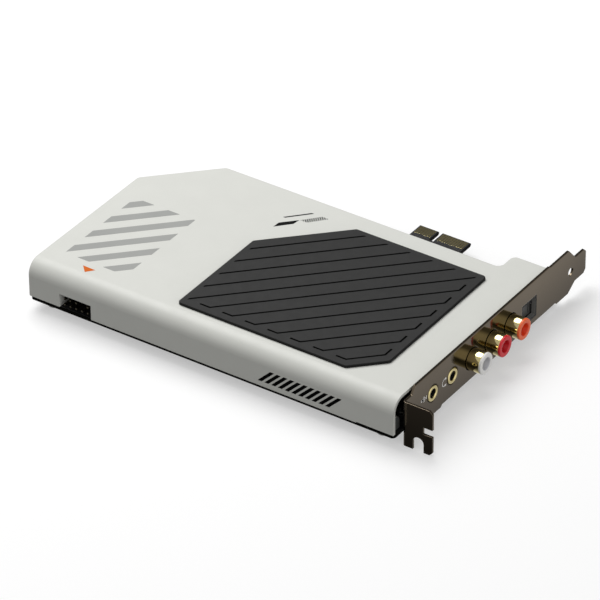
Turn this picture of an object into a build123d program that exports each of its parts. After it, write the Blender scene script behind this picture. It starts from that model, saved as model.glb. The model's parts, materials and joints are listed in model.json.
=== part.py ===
from build123d import *
import math
import os

# Sound card on a card-edge slot: a board with its connectors on a slotted metal bracket, under a
# moulded cover with a grooved accent panel. Millimetres. The origin is the middle of the key slot
# at the lower edge of the contact tongue, halfway through the board. +X runs to the bracket, +Y the
# way the card is pushed into its slot, +Z out of the component side.

# Board and its contact tongue
BOARD_THICK = 1.6
BOARD_LENGTH = 156.0
BOARD_PAST_FLANGE = 3.7
BOARD_STRIP = 17.4
BOARD_CORNER_CUT = 14.0
BOARD_CORNER_RADIUS = 1.5
KEY_TO_BRACKET = 57.15
KEY_WIDTH = 1.9
KEY_DEPTH = 7.0
TONGUE_DEPTH = 8.25
TONGUE_CHAMFER = 0.5
FRONT_CONTACT_COUNT = 11
REAR_CONTACT_COUNT = 7
CONTACT_PITCH = 1.0
CONTACT_MARGIN = 0.6
CONTACT_WIDTH = 0.7
CONTACT_LENGTH = 4.8
CONTACT_SETBACK = 0.7
CONTACT_THICK = 0.05

# Bracket, one folded sheet
BRACKET_THICK = 0.9
BRACKET_LENGTH = 120.02
BRACKET_WIDTH = 18.42
BRACKET_DROP = 1.7
BRACKET_BEND = 1.2
FLANGE_DEPTH = 11.43
FLANGE_WIDTH = 18.42
FLANGE_DROP = 2.41
FLANGE_NECK = 5.0
FLANGE_CORNER = 1.2
NOTCH_WIDTH = 4.42
NOTCH_OFFSET = 5.66
NOTCH_HEIGHT = 5.6
RELIEF_HEIGHT = 2.9
RELIEF_DEPTH = 3.8
RELIEF_ABOVE_NOTCH = 2.2
LIP_RISE = 0.53
LIP_ROUND = 0.6
LIP_START = 7.0
LIP_TO_SHOULDER = 13.2
RECESS_RISE = 0.83
RECESS_START = 23.3
RECESS_TO_SHOULDER = 7.9
FOOT_LENGTH = 11.95
SHOULDER_RUN = 4.6
FOOT_WIDTH = 10.19
FOOT_LOW = 3.14
FOOT_CORNER = 1.3
FOOT_HOLE = 3.4
FOOT_HOLE_SETBACK = 10.37
FOOT_HOLE_RISE = 0.4
TAB_LENGTH = 9.5
TAB_WIDTH = 6.0
TAB_NEAR = 7.6
TAB_PAST_OPTICAL = 9.6
TAB_SCREW_SETBACK = 5.6

# Connectors on one line along the bracket
CONNECTOR_PITCH = 12.7
FIRST_CONNECTOR = 17.9
CONNECTOR_HEIGHT = 5.9
SEAT_GAP = 0.1
HOUSING_WIDTH = 11.2
HOUSING_RISE = 5.6
HOUSING_CHAMFER = 1.1
JACK_DEPTH = 14.0
JACK_NAMES = ("microphone", "headphone")
JACK_BORE = 3.6
JACK_BUSH = 6.6
JACK_SLEEVE = 5.2
JACK_SLEEVE_LENGTH = 11.0
JACK_PROUD = 0.25
JACK_HOLE_GAP = 0.4
JACK_CHAMBER = 7.0
JACK_STRIP_OFFSET = 3.7
JACK_STRIP = 0.3
JACK_STRIP_LENGTH = 4.6
PHONO_NAMES = ("white", "red", "orange")
PHONO_DEPTH = 11.0
PHONO_SEAT = 5.5
PHONO_BARREL = 8.3
PHONO_STEP = 0.2
PHONO_SHOULDER = 0.1
PHONO_REACH = 6.05
PHONO_CAP = 0.85
PHONO_CAP_DIAMETER = 8.2
PHONO_CAP_CHAMFER = 0.3
PHONO_MOUTH = 4.8
PHONO_FUNNEL = 2.0
PHONO_PIN_BORE = 3.2
PHONO_CONTACT_WALL = 0.4
PHONO_BARREL_WALL = 0.6
PHONO_HOLE_GAP = 0.35
OPTICAL_DEPTH = 13.5
OPTICAL_NOSE_WIDTH = 9.7
OPTICAL_NOSE_HEIGHT = 8.8
OPTICAL_NOSE_GAP = 0.1
OPTICAL_MOUTH_WIDTH = 8.8
OPTICAL_MOUTH_HEIGHT = 7.7
OPTICAL_AXIS = 4.3
OPTICAL_WALL = 0.7
SHUTTER_THICK = 0.8
SHUTTER_LAP = 0.2
SHUTTER_CLEAR = 0.3
SHUTTER_END_GAP = 0.1
SHUTTER_SETBACK = 1.3
SHUTTER_GROOVE = 0.3
SHUTTER_GROOVE_PLACES = (2.7, 3.8)
SHUTTER_GROOVE_MARGIN = 0.7
HINGE_PIN = 0.6
HINGE_RUNNING = 0.05
HINGE_PIN_LENGTH = 0.4
SPRING_WIRE = 0.2
SPRING_TURN_COUNT = 2
SPRING_PITCH = 0.26
SPRING_PLAY = 0.14
SPRING_LEG = 2.6
LENS_DIAMETER = 2.6
LENS_LENGTH = 1.5

# Moulded cover
COVER_WALL = 1.2
COVER_HEIGHT = 14.3
COVER_OVERHANG = 0.4
COVER_PAST_OPTICAL = 5.7
COVER_CHAMFER = 23.5
COVER_BEND = 5.7
COVER_CORNER = 2.5
COVER_EDGE_RADIUS = 0.8
COVER_GAP = 1.0
JOG_CLEAR = 0.3
JOG_MARGIN = 0.7
SLOT_COUNT = 11
SLOT_PITCH = 2.83
SLOT_WIDTH = 1.75
SLOT_RUN = 5.4
SLOT_LOW = 1.6
SLOT_START = 58.6
WINDOW_FROM_TAIL = 13.8
WINDOW_DEPTH = 7.5
WINDOW_SIDE_GAP = 0.6
WINDOW_TOP_GAP = 0.52
CHEEK_WALL = 1.0
END_RIB_WIDTH = 4.6
END_RIB_HEIGHT = 5.4
END_RIB_RADIUS = 2.4
BOSS_DIAMETER = 5.2
BOSS_HOLE = 2.5
BOSS_HOLE_DEPTH = 8.5
BOSS_FROM_NEAR = 3.9
BOSS_FROM_END = 6.3
BOSS_FROM_TAIL = 8.7
BOSS_FROM_FAR = 6.3
BOSS_PAST_CHAMFER = 6.8
BOSS_FAR_FROM_END = 28.1

# Accent panel with diagonal grooves
PANEL_THICK = 1.1
PANEL_EDGE = 0.25
PANEL_LENGTH = 82.5
PANEL_HEIGHT = 74.1
PANEL_FROM_END = 13.75
PANEL_FROM_WALL = 7.8
PANEL_TAIL_CUT = 27.0
PANEL_NEAR_CUT = 11.2
PANEL_CORNER = 1.6
GROOVE_COUNT = 12
GROOVE_PITCH = 9.6
GROOVE_FIRST = 7.4
GROOVE_WIDTH = 0.8
GROOVE_DEPTH = 0.6
GROOVE_MARGIN = 2.3
GROOVE_BEND = 3.8
GROOVE_BEND_MARGIN = 3.0

# Screws and nuts
SCREW_SHANK = 2.4
SCREW_LENGTH = 7.5
SCREW_HEAD = 5.5
SCREW_HEAD_HEIGHT = 1.7
SCREW_HEAD_CHAMFER = 0.7
SCREW_SIDE_COUNT = 16
BOARD_HOLE = 3.0
NUT_ACROSS = 5.0
NUT_HEIGHT = 2.0

# Front panel header
HEADER_COLUMN_COUNT = 5
HEADER_PITCH = 2.54
HEADER_BODY_DEPTH = 2.5
HEADER_KEY_FROM_END = 3
HEADER_PIN = 0.64
HEADER_PIN_REACH = 5.8
HEADER_TAIL = 1.2
HEADER_CHAMFER = 0.5
HEADER_TIP = 0.16

# Parts on the board: distance behind the bracket face and distance from the flange face
PROCESSOR_PLACE = (92.0, 46.0)
PROCESSOR_SIDE = 20.0
PROCESSOR_HEIGHT = 1.6
PROCESSOR_LEAD_COUNT = 9
PROCESSOR_LEAD_PITCH = 2.0
CONVERTER_PLACES = {"headphone_amp_chip": (46.0, 13.0), "dac_chip": (46.0, 30.0), "adc_chip": (46.0, 52.0)}
CONVERTER_SIDE = 8.0
CONVERTER_HEIGHT = 1.2
CONVERTER_LEAD_COUNT = 5
SMALL_CHIP_LENGTH = 4.9
SMALL_CHIP_WIDTH = 3.9
SMALL_CHIP_HEIGHT = 1.6
SMALL_CHIP_LEAD_COUNT = 3
MEMORY_PLACE = (113.0, 60.0)
LEAD_PITCH = 1.27
LEAD_WIDTH = 0.5
LEAD_THICK = 0.3
LEAD_REACH = 0.9
CHIP_CHAMFER = 0.25
CAN_DIAMETER = 6.3
CAN_HEIGHT = 10.5
CAN_SIDE_COUNT = 20
CAN_CHAMFER = 0.5
CAN_BASE = 6.8
CAN_BASE_HEIGHT = 1.0
CAN_BASE_CUT = 0.85
FILM_CAP_SIZE = (7.2, 2.6, 6.5)
FILM_CAP_CHAMFER = 0.3
FILM_CAP_LEADS = 4.8
RELAY_SIZE = (7.5, 14.0, 5.4)
RELAY_CHAMFER = 0.4
RELAY_LEADS = (5.0, 9.4)
INDUCTOR_SIZE = (6.6, 6.6, 3.0)
INDUCTOR_CHAMFER = 0.6
INDUCTOR_FROM_TAIL = 21.9
REGULATOR_SIZE = (6.2, 6.5, 2.3)
REGULATOR_CHAMFER = 0.35
REGULATOR_FROM_TAIL = 36.9
CRYSTAL_SIZE = (7.0, 5.0, 1.4)
CRYSTAL_CHAMFER = 0.3
SUPPLY_CAP_SIZE = (3.5, 2.8, 1.9)
SUPPLY_CAP_CHAMFER = 0.3
CHIP_CAP_SIZE = (0.9, 1.8, 0.9)
RESISTOR_SIZE = (1.6, 0.85, 0.5)
STRIP_PARTS = 8.6
SOLDER_RADIUS = 0.85
SOLDER_TIP = 0.4
SOLDER_HEIGHT = 0.9
SOLDER_SIDE_COUNT = 6
SOLDER_FRONT = 3.85
SOLDER_BACK = 8.8
SOLDER_SPREAD = 2.8

# Places worked out from the sizes above
JACK_COUNT = len(JACK_NAMES)
OPTICAL_INDEX = JACK_COUNT + len(PHONO_NAMES)
OPTICAL_SPAN = FIRST_CONNECTOR + OPTICAL_INDEX * CONNECTOR_PITCH
COVER_SPAN = OPTICAL_SPAN + COVER_PAST_OPTICAL
TAB_FAR = OPTICAL_SPAN + TAB_PAST_OPTICAL
BOARD_TOP = BOARD_THICK / 2
BOARD_UNDER = -BOARD_THICK / 2
BOARD_EDGE = -TONGUE_DEPTH
COVER_FAR = BOARD_EDGE - BOARD_STRIP
FLANGE_FACE = COVER_FAR - COVER_SPAN
BOARD_NEAR = FLANGE_FACE - BOARD_PAST_FLANGE
BRACKET_FACE = KEY_TO_BRACKET
BRACKET_BACK = BRACKET_FACE - BRACKET_THICK
BOARD_END = BRACKET_BACK - COVER_GAP
BOARD_TAIL = BOARD_END - BOARD_LENGTH
BRACKET_LOW = BOARD_UNDER - BRACKET_DROP
BRACKET_HIGH = BRACKET_LOW + BRACKET_WIDTH
FLANGE_LOW = BRACKET_LOW - FLANGE_DROP
FLANGE_HIGH = FLANGE_LOW + FLANGE_WIDTH
AXIS_Z = BOARD_TOP + CONNECTOR_HEIGHT
HOUSING_FRONT = BRACKET_BACK - SEAT_GAP
PHONO_BACK = HOUSING_FRONT - PHONO_SEAT
PHONO_MOUTH_FACE = BRACKET_FACE + PHONO_REACH
OPTICAL_BACK = HOUSING_FRONT - OPTICAL_DEPTH
OPTICAL_Z = BOARD_TOP + OPTICAL_AXIS
SHUTTER_FRONT = HOUSING_FRONT - SHUTTER_SETBACK
SHUTTER_MID = SHUTTER_FRONT - SHUTTER_THICK / 2
SHUTTER_HALF = OPTICAL_MOUTH_WIDTH / 2 + SHUTTER_LAP
SHUTTER_RISE = OPTICAL_MOUTH_HEIGHT / 2 - SHUTTER_END_GAP
HINGE_OFFSET = SHUTTER_HALF + SHUTTER_THICK / 2
HINGE_Y = FLANGE_FACE + OPTICAL_SPAN + HINGE_OFFSET
SPRING_ROOM = (SPRING_TURN_COUNT + 2) * SPRING_WIRE
SPRING_RADIUS = SHUTTER_THICK / 2 + SPRING_PLAY
CAVITY_FRONT = SHUTTER_FRONT + SHUTTER_CLEAR
CAVITY_LOW_SIDE = SHUTTER_HALF + SHUTTER_CLEAR
CAVITY_HINGE_SIDE = HINGE_OFFSET + SHUTTER_THICK / 2 + SHUTTER_CLEAR
CAVITY_RISE = OPTICAL_MOUTH_HEIGHT / 2
COVER_TOP = BOARD_TOP + COVER_HEIGHT
COVER_NEAR = BOARD_NEAR - COVER_OVERHANG
COVER_TAIL = BOARD_TAIL - COVER_OVERHANG
COVER_END = BOARD_END
JOG_X = OPTICAL_BACK - JOG_CLEAR - COVER_WALL
JOG_FAR = FLANGE_FACE + TAB_FAR + TAB_WIDTH / 2 + JOG_MARGIN + COVER_WALL
WINDOW_LEFT = COVER_TAIL + WINDOW_FROM_TAIL
WINDOW_RIGHT = WINDOW_LEFT + HEADER_COLUMN_COUNT * HEADER_PITCH + 2 * WINDOW_SIDE_GAP
WINDOW_TOP = BOARD_TOP + 2 * HEADER_PITCH + WINDOW_TOP_GAP
HEADER_X = (WINDOW_LEFT + WINDOW_RIGHT) / 2
HEADER_FRONT = COVER_NEAR + COVER_WALL + WINDOW_DEPTH - HEADER_BODY_DEPTH
PANEL_RIGHT = COVER_END - PANEL_FROM_END
PANEL_NEAR = COVER_NEAR + PANEL_FROM_WALL
PANEL_LEFT = PANEL_RIGHT - PANEL_LENGTH
PANEL_FAR = PANEL_NEAR + PANEL_HEIGHT
TAIL_BEHIND = BRACKET_FACE - BOARD_TAIL
STRIP_SPAN = COVER_SPAN + STRIP_PARTS
CLOSE = 0.01

# Rows of like parts: first place, step to the next, count
OP_AMP_ROWS = [((33.0, 18.0), (0.0, 10.0), 6)]
CAN_ROWS = [((60.0, 12.0), (0.0, 10.5), 4), ((71.0, 12.0), (0.0, 10.5), 4)]
FILM_CAP_ROWS = [((22.5, 10.0), (0.0, 4.6), 6)]
RELAY_ROWS = [((23.0, 47.0), (0.0, 17.0), 2)]
INDUCTOR_ROWS = [((TAIL_BEHIND - INDUCTOR_FROM_TAIL, 22.0), (0.0, 9.0), 4)]
REGULATOR_ROWS = [((TAIL_BEHIND - REGULATOR_FROM_TAIL, 14.0), (0.0, 12.0), 3)]
CRYSTAL_ROWS = [((76.0, 64.0), (35.0, -16.0), 2)]
CHIP_CAP_ROWS = [((47.0, STRIP_SPAN), (3.2, 0.0), 6), ((84.0, 62.0), (4.0, 0.0), 5)]
RESISTOR_ROWS = [((76.0, STRIP_SPAN), (3.4, 0.0), 8), ((84.0, 30.0), (4.0, 0.0), 5)]
SUPPLY_CAP_ROWS = [((37.5, STRIP_SPAN), (0.0, 0.0), 1), ((110.0, STRIP_SPAN), (8.0, 0.0), 3)]


def behind(distance):
    """X at a distance behind the bracket's outer face."""
    return BRACKET_FACE - distance


def along(distance):
    """Y at a distance from the flange's outer face."""
    return FLANGE_FACE + distance


def connector_y(index):
    """Y of a connector's axis, counted from the flange."""
    return along(FIRST_CONNECTOR + index * CONNECTOR_PITCH)


def row_places(rows):
    """X and Y of every part in some rows."""
    places = []
    for (u, v), (du, dv), count in rows:
        places += [(behind(u + i * du), along(v + i * dv)) for i in range(count)]
    return places


def span(x0, x1, y0, y1, z0, z1):
    """Box between two corners."""
    return Pos((x0 + x1) / 2, (y0 + y1) / 2, (z0 + z1) / 2) * Box(x1 - x0, y1 - y0, z1 - z0)


def prism(points, low, high):
    """Solid on a plan outline between two heights."""
    return Pos(0, 0, low) * extrude(make_face(Polyline(*points, close=True)), high - low)


def rod(radius, low, high):
    """Upright cylinder on the Z axis between two heights."""
    return Pos(0, 0, (low + high) / 2) * Cylinder(radius, high - low)


def faceted(radius, sides, low, high):
    """Upright prism with a regular outline on the Z axis between two heights."""
    return Pos(0, 0, low) * extrude(RegularPolygon(radius, sides), high - low)


def screw_hole(low, high):
    """Clearance for a screw through the board or a tab."""
    return faceted(BOARD_HOLE / 2, SCREW_SIDE_COUNT, low, high)


def out_rod(radius, y, z, x0, x1):
    """Cylinder along X between two places."""
    return Pos((x0 + x1) / 2, y, z) * Rot(0, 90, 0) * Cylinder(radius, x1 - x0)


def tongue_segment(count):
    """Length of one stretch of the contact tongue."""
    return (count - 1) * CONTACT_PITCH + CONTACT_WIDTH + 2 * CONTACT_MARGIN


def contact_places():
    """X of every contact, on both sides of the key."""
    first = KEY_WIDTH / 2 + CONTACT_MARGIN + CONTACT_WIDTH / 2
    front = [first + i * CONTACT_PITCH for i in range(FRONT_CONTACT_COUNT)]
    rear = [-first - i * CONTACT_PITCH for i in range(REAR_CONTACT_COUNT)]
    return front + rear


def screw_places():
    """Centres of the cover's screws: two along the near wall and two along the far wall."""
    near = COVER_NEAR + BOSS_FROM_NEAR
    far = COVER_FAR - BOSS_FROM_FAR
    return [(COVER_END - BOSS_FROM_END, near), (COVER_TAIL + BOSS_FROM_TAIL, near),
            (COVER_TAIL + COVER_CHAMFER + BOSS_PAST_CHAMFER, far), (COVER_END - BOSS_FAR_FROM_END, far)]


def tab_screw_places():
    """Holes of the bracket's two tabs."""
    return [(BRACKET_BACK - TAB_SCREW_SETBACK, along(v)) for v in (TAB_NEAR, TAB_FAR)]


def make_board():
    """Bare board with the contact tongue, the key slot and the screw holes."""
    cut = BOARD_CORNER_CUT
    outline = [(BOARD_TAIL, BOARD_NEAR), (BOARD_END, BOARD_NEAR), (BOARD_END, BOARD_EDGE),
               (BOARD_TAIL + cut, BOARD_EDGE), (BOARD_TAIL, BOARD_EDGE - cut)]
    plan = make_face(Polyline(*outline, close=True))
    plan = fillet(plan.vertices(), BOARD_CORNER_RADIUS)
    board = Pos(0, 0, BOARD_UNDER) * extrude(plan, BOARD_THICK)
    front = KEY_WIDTH / 2 + tongue_segment(FRONT_CONTACT_COUNT)
    rear = KEY_WIDTH / 2 + tongue_segment(REAR_CONTACT_COUNT)
    tongue = span(-rear, front, BOARD_EDGE - BOARD_CORNER_RADIUS, 0, BOARD_UNDER, BOARD_TOP)
    tongue = chamfer(tongue.edges().filter_by(Axis.X).group_by(Axis.Y)[-1], TONGUE_CHAMFER)
    board = board + tongue
    board -= span(-KEY_WIDTH / 2, KEY_WIDTH / 2, -KEY_DEPTH, KEY_WIDTH, BOARD_UNDER, BOARD_TOP)
    for x, y in screw_places() + tab_screw_places():
        board -= Pos(x, y, 0) * screw_hole(BOARD_UNDER, BOARD_TOP)
    return board


def make_edge_contacts():
    """Gilded contacts on both faces of the tongue."""
    pads = []
    for x in contact_places():
        for face in (BOARD_TOP, BOARD_UNDER - CONTACT_THICK):
            pads.append(span(x - CONTACT_WIDTH / 2, x + CONTACT_WIDTH / 2,
                             -CONTACT_SETBACK - CONTACT_LENGTH, -CONTACT_SETBACK, face, face + CONTACT_THICK))
    return Compound(children=pads)


def bracket_plan():
    """Front view of the plate, as points (Y, Z) from the flange to the foot."""
    foot_low = BRACKET_LOW + FOOT_LOW
    foot_high = foot_low + FOOT_WIDTH
    foot_end = along(BRACKET_LENGTH)
    lip = BRACKET_HIGH + LIP_RISE
    recess = BRACKET_LOW + RECESS_RISE
    neck = along(FLANGE_NECK)
    shoulder = foot_end - FOOT_LENGTH
    waist = shoulder + SHOULDER_RUN
    recess_start = along(RECESS_START)
    recess_end = shoulder - RECESS_TO_SHOULDER
    lip_end = shoulder - LIP_TO_SHOULDER
    return [(FLANGE_FACE, FLANGE_LOW), (neck, FLANGE_LOW), (neck + FLANGE_DROP, BRACKET_LOW),
            (recess_start, BRACKET_LOW), (recess_start + RECESS_RISE, recess),
            (recess_end - RECESS_RISE, recess), (recess_end, BRACKET_LOW),
            (shoulder, BRACKET_LOW), (waist, foot_low),
            (foot_end - FOOT_CORNER, foot_low), (foot_end, foot_low + FOOT_CORNER),
            (foot_end, foot_high - FOOT_CORNER), (foot_end - FOOT_CORNER, foot_high),
            (waist, foot_high), (shoulder, BRACKET_HIGH),
            (lip_end + LIP_RISE, BRACKET_HIGH), (lip_end, lip),
            (along(LIP_START), lip), (neck, FLANGE_HIGH), (FLANGE_FACE, FLANGE_HIGH)]


def make_flange():
    """Seat of the bracket, folded outwards, with its screw notch and side relief."""
    outer = BRACKET_FACE + FLANGE_DEPTH
    c = FLANGE_CORNER
    outline = [(BRACKET_BACK, FLANGE_LOW), (outer - c, FLANGE_LOW), (outer, FLANGE_LOW + c),
               (outer, FLANGE_HIGH - c), (outer - c, FLANGE_HIGH), (BRACKET_BACK, FLANGE_HIGH)]
    # The sheet's plan lies in XZ and is extruded along Y
    flange = extrude(Plane.XZ * make_face(Polyline(*outline, close=True)), -BRACKET_THICK)
    flange = Pos(0, FLANGE_FACE, 0) * flange
    notch_x = BRACKET_FACE + NOTCH_OFFSET
    arch_z = FLANGE_LOW + NOTCH_HEIGHT - NOTCH_WIDTH / 2
    deep = 2 * BRACKET_THICK
    notch = span(notch_x - NOTCH_WIDTH / 2, notch_x + NOTCH_WIDTH / 2,
                 FLANGE_FACE - deep, FLANGE_FACE + deep, FLANGE_LOW - deep, arch_z)
    notch += Pos(notch_x, FLANGE_FACE, arch_z) * Rot(90, 0, 0) * Cylinder(NOTCH_WIDTH / 2, 2 * deep)
    relief_z = FLANGE_LOW + NOTCH_HEIGHT + RELIEF_ABOVE_NOTCH
    relief = span(outer - RELIEF_DEPTH, outer + deep, FLANGE_FACE - deep, FLANGE_FACE + deep,
                  relief_z, relief_z + RELIEF_HEIGHT)
    return flange - notch - relief


def make_bracket():
    """Folded bracket: plate, flange, two board tabs and the connector openings."""
    plate = extrude(Plane.YZ * make_face(Polyline(*bracket_plan(), close=True)), BRACKET_THICK)
    plate = Pos(BRACKET_BACK, 0, 0) * plate
    bracket = plate + make_flange()
    fold = bracket.edges().filter_by(Axis.Z)
    fold = fold.filter_by_position(Axis.X, BRACKET_BACK - CLOSE, BRACKET_BACK + CLOSE)
    fold = fold.filter_by_position(Axis.Y, FLANGE_FACE - CLOSE, FLANGE_FACE + CLOSE)
    bracket = fillet(fold, BRACKET_BEND)
    lip = bracket.edges().filter_by(Axis.Y).group_by(Axis.Z)[-1].sort_by(Axis.X)[-1]
    bracket = fillet(lip, LIP_ROUND)
    for v in (TAB_NEAR, TAB_FAR):
        bracket += span(BRACKET_BACK - TAB_LENGTH, BRACKET_FACE, along(v) - TAB_WIDTH / 2,
                        along(v) + TAB_WIDTH / 2, BOARD_UNDER - BRACKET_THICK, BOARD_UNDER)
    for x, y in tab_screw_places():
        bracket -= Pos(x, y, 0) * screw_hole(BOARD_UNDER - 2 * BRACKET_THICK, BOARD_UNDER)
    through = (BRACKET_BACK - BRACKET_THICK, BRACKET_FACE + BRACKET_THICK)
    for i in range(JACK_COUNT):
        bracket -= out_rod(JACK_BUSH / 2 + JACK_HOLE_GAP, connector_y(i), AXIS_Z, *through)
    for i in range(len(PHONO_NAMES)):
        bracket -= out_rod(PHONO_BARREL / 2 + PHONO_HOLE_GAP, connector_y(JACK_COUNT + i), AXIS_Z, *through)
    half_w = OPTICAL_NOSE_WIDTH / 2 + OPTICAL_NOSE_GAP
    half_h = OPTICAL_NOSE_HEIGHT / 2 + OPTICAL_NOSE_GAP
    y = connector_y(OPTICAL_INDEX)
    bracket -= span(*through, y - half_w, y + half_w, OPTICAL_Z - half_h, OPTICAL_Z + half_h)
    foot_z = BRACKET_LOW + FOOT_LOW + FOOT_WIDTH / 2 + FOOT_HOLE_RISE
    return bracket - out_rod(FOOT_HOLE / 2, along(BRACKET_LENGTH - FOOT_HOLE_SETBACK), foot_z, *through)


def cover_outline(inset, end):
    """Plan of the cover moved inwards by an inset, open towards the bracket at X = end."""
    slip = inset * (math.sqrt(2) - 1)
    jog_x = JOG_X + inset
    near = COVER_NEAR + inset
    far = COVER_FAR - inset
    tail = COVER_TAIL + inset
    points = [(end, near), (end, JOG_FAR - inset), (jog_x, JOG_FAR - inset), (jog_x, far),
              (COVER_TAIL + COVER_CHAMFER + slip, far), (tail, COVER_FAR - COVER_CHAMFER - slip),
              (tail, near)]
    plan = make_face(Polyline(*points, close=True))
    rounded = [v for v in plan.vertices() if v.X < end - CLOSE and v.Y > near + CLOSE]
    return fillet(rounded, COVER_CORNER - inset)


def cover_block(inset, end):
    """Cover as a solid block, moved inwards by an inset, with its long bend on the near side."""
    top = COVER_TOP - inset
    near = COVER_NEAR + inset
    bend = COVER_BEND - inset
    corners = [(near, BOARD_TOP), (JOG_FAR, BOARD_TOP), (JOG_FAR, top), (near, top)]
    section = make_face(Polyline(*corners, close=True))
    corner = section.vertices().sort_by(Axis.X)[:2].sort_by(Axis.Y)[-1]
    bar = Pos(COVER_TAIL, 0, 0) * extrude(Plane.YZ * fillet(corner, bend), end - COVER_TAIL)
    return bar & (Pos(0, 0, BOARD_TOP) * extrude(cover_outline(inset, end), COVER_HEIGHT))


def slot_cutter(index):
    """Slanted vent slot through the near wall."""
    x = behind(SLOT_START) + index * SLOT_PITCH
    z = BOARD_TOP + SLOT_LOW
    outline = [(x, z), (x + SLOT_WIDTH, z), (x + SLOT_WIDTH + SLOT_RUN, z + SLOT_RUN),
               (x + SLOT_RUN, z + SLOT_RUN)]
    cutter = extrude(Plane.XZ * make_face(Polyline(*outline, close=True)), -3 * COVER_WALL)
    return Pos(0, COVER_NEAR - COVER_WALL, 0) * cutter


def end_rib():
    """Rib that closes the foot of the near wall beside the bracket, with a round upper corner."""
    y0 = COVER_NEAR + COVER_WALL / 2
    y1 = COVER_NEAR + COVER_WALL + END_RIB_WIDTH
    z1 = BOARD_TOP + END_RIB_HEIGHT
    plan = make_face(Polyline((y0, BOARD_TOP), (y1, BOARD_TOP), (y1, z1), (y0, z1), close=True))
    corner = plan.vertices().sort_by(Axis.X)[-2:].sort_by(Axis.Y)[-1]
    rib = extrude(Plane.YZ * fillet(corner, END_RIB_RADIUS), COVER_WALL)
    return Pos(COVER_END - 2 * COVER_WALL, 0, 0) * rib


def make_cover():
    """Moulded shell with screw bosses, vent slots, the header window and its cheeks."""
    cover = cover_block(0, COVER_END)
    upper = cover.edges().filter_by_position(Axis.Z, COVER_TOP - CLOSE, COVER_TOP + CLOSE)
    bend_end = COVER_NEAR + COVER_BEND + CLOSE
    upper = [e for e in upper if e.center().X < COVER_END - CLOSE and e.center().Y > bend_end]
    cover = fillet(upper, COVER_EDGE_RADIUS)
    cover -= cover_block(COVER_WALL, COVER_END + COVER_GAP / 2)
    inner = COVER_NEAR + COVER_WALL / 2
    deep = COVER_NEAR + COVER_WALL + WINDOW_DEPTH
    for x in (WINDOW_LEFT - CHEEK_WALL, WINDOW_RIGHT):
        cover += span(x, x + CHEEK_WALL, inner, deep, BOARD_TOP, WINDOW_TOP)
    cover -= span(WINDOW_LEFT, WINDOW_RIGHT, COVER_NEAR - COVER_WALL, inner + COVER_WALL,
                  BOARD_TOP, WINDOW_TOP)
    cover += end_rib()
    for x, y in screw_places():
        boss = faceted(BOSS_DIAMETER / 2, SCREW_SIDE_COUNT, BOARD_TOP, COVER_TOP - COVER_WALL / 2)
        cover += (Pos(x, y, 0) * boss) & cover_block(COVER_WALL / 2, COVER_END)
    for x, y in screw_places():
        hole = faceted(BOSS_HOLE / 2, SCREW_SIDE_COUNT, BOARD_TOP, BOARD_TOP + BOSS_HOLE_DEPTH)
        cover -= Pos(x, y, 0) * hole
    for i in range(SLOT_COUNT):
        cover -= slot_cutter(i)
    return cover


def groove_cutters():
    """Diagonal grooves at 45 degrees; the later ones turn along the near and bracket edges."""
    half = GROOVE_WIDTH / math.sqrt(2)
    low = COVER_TOP + PANEL_THICK - GROOVE_DEPTH
    high = COVER_TOP + 2 * PANEL_THICK
    west = PANEL_LEFT + GROOVE_MARGIN
    east = PANEL_RIGHT - GROOVE_BEND_MARGIN
    south = PANEL_NEAR + GROOVE_BEND_MARGIN
    north = PANEL_FAR - GROOVE_MARGIN
    field = span(west, east, south, north, low, high)
    cutters = []
    for i in range(GROOVE_COUNT):
        # X minus Y stays the same along each groove
        line = PANEL_LEFT - (PANEL_FAR - PANEL_TAIL_CUT) + GROOVE_FIRST + i * GROOVE_PITCH
        y0, y1 = south - GROOVE_WIDTH, north + GROOVE_WIDTH
        band = prism([(y0 + line - half, y0), (y0 + line + half, y0), (y1 + line + half, y1),
                      (y1 + line - half, y1)], low, high)
        cutters.append(band & field)
        start = south + line
        if start > west + GROOVE_BEND:
            cutters.append(span(start - GROOVE_BEND, start + half, south, south + GROOVE_WIDTH, low, high))
        end = east - line
        if end < north - GROOVE_BEND:
            cutters.append(span(east - GROOVE_WIDTH, east, end - half, end + GROOVE_BEND, low, high))
    return cutters


def make_accent_panel():
    """Six-sided plate on the cover with its grooves."""
    outline = [(PANEL_LEFT, PANEL_NEAR), (PANEL_RIGHT - PANEL_NEAR_CUT, PANEL_NEAR),
               (PANEL_RIGHT, PANEL_NEAR + PANEL_NEAR_CUT), (PANEL_RIGHT, PANEL_FAR),
               (PANEL_LEFT + PANEL_TAIL_CUT, PANEL_FAR), (PANEL_LEFT, PANEL_FAR - PANEL_TAIL_CUT)]
    plan = make_face(Polyline(*outline, close=True))
    plate = Pos(0, 0, COVER_TOP) * extrude(fillet(plan.vertices(), PANEL_CORNER), PANEL_THICK)
    plate = chamfer(plate.edges().group_by(Axis.Z)[-1], PANEL_EDGE)
    for cutter in groove_cutters():
        plate -= cutter
    return plate


def pan_screw(x, y, seat, length):
    """Screw from below: a round head under the seat and a plain shank above it."""
    head = faceted(SCREW_HEAD / 2, SCREW_SIDE_COUNT, seat - SCREW_HEAD_HEIGHT, seat)
    head = chamfer(head.edges().group_by(Axis.Z)[0], SCREW_HEAD_CHAMFER)
    shank = faceted(SCREW_SHANK / 2, SCREW_SIDE_COUNT, seat - SCREW_HEAD_HEIGHT / 2, seat + length)
    return Pos(x, y, 0) * (head + shank)


def make_cover_screws():
    """Screws that hold the cover, from the back of the board."""
    return Compound(children=[pan_screw(x, y, BOARD_UNDER, SCREW_LENGTH) for x, y in screw_places()])


def make_bracket_screws():
    """Screws that hold the bracket's tabs to the board."""
    seat = BOARD_UNDER - BRACKET_THICK
    length = BRACKET_THICK + BOARD_THICK + NUT_HEIGHT
    return Compound(children=[pan_screw(x, y, seat, length) for x, y in tab_screw_places()])


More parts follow.
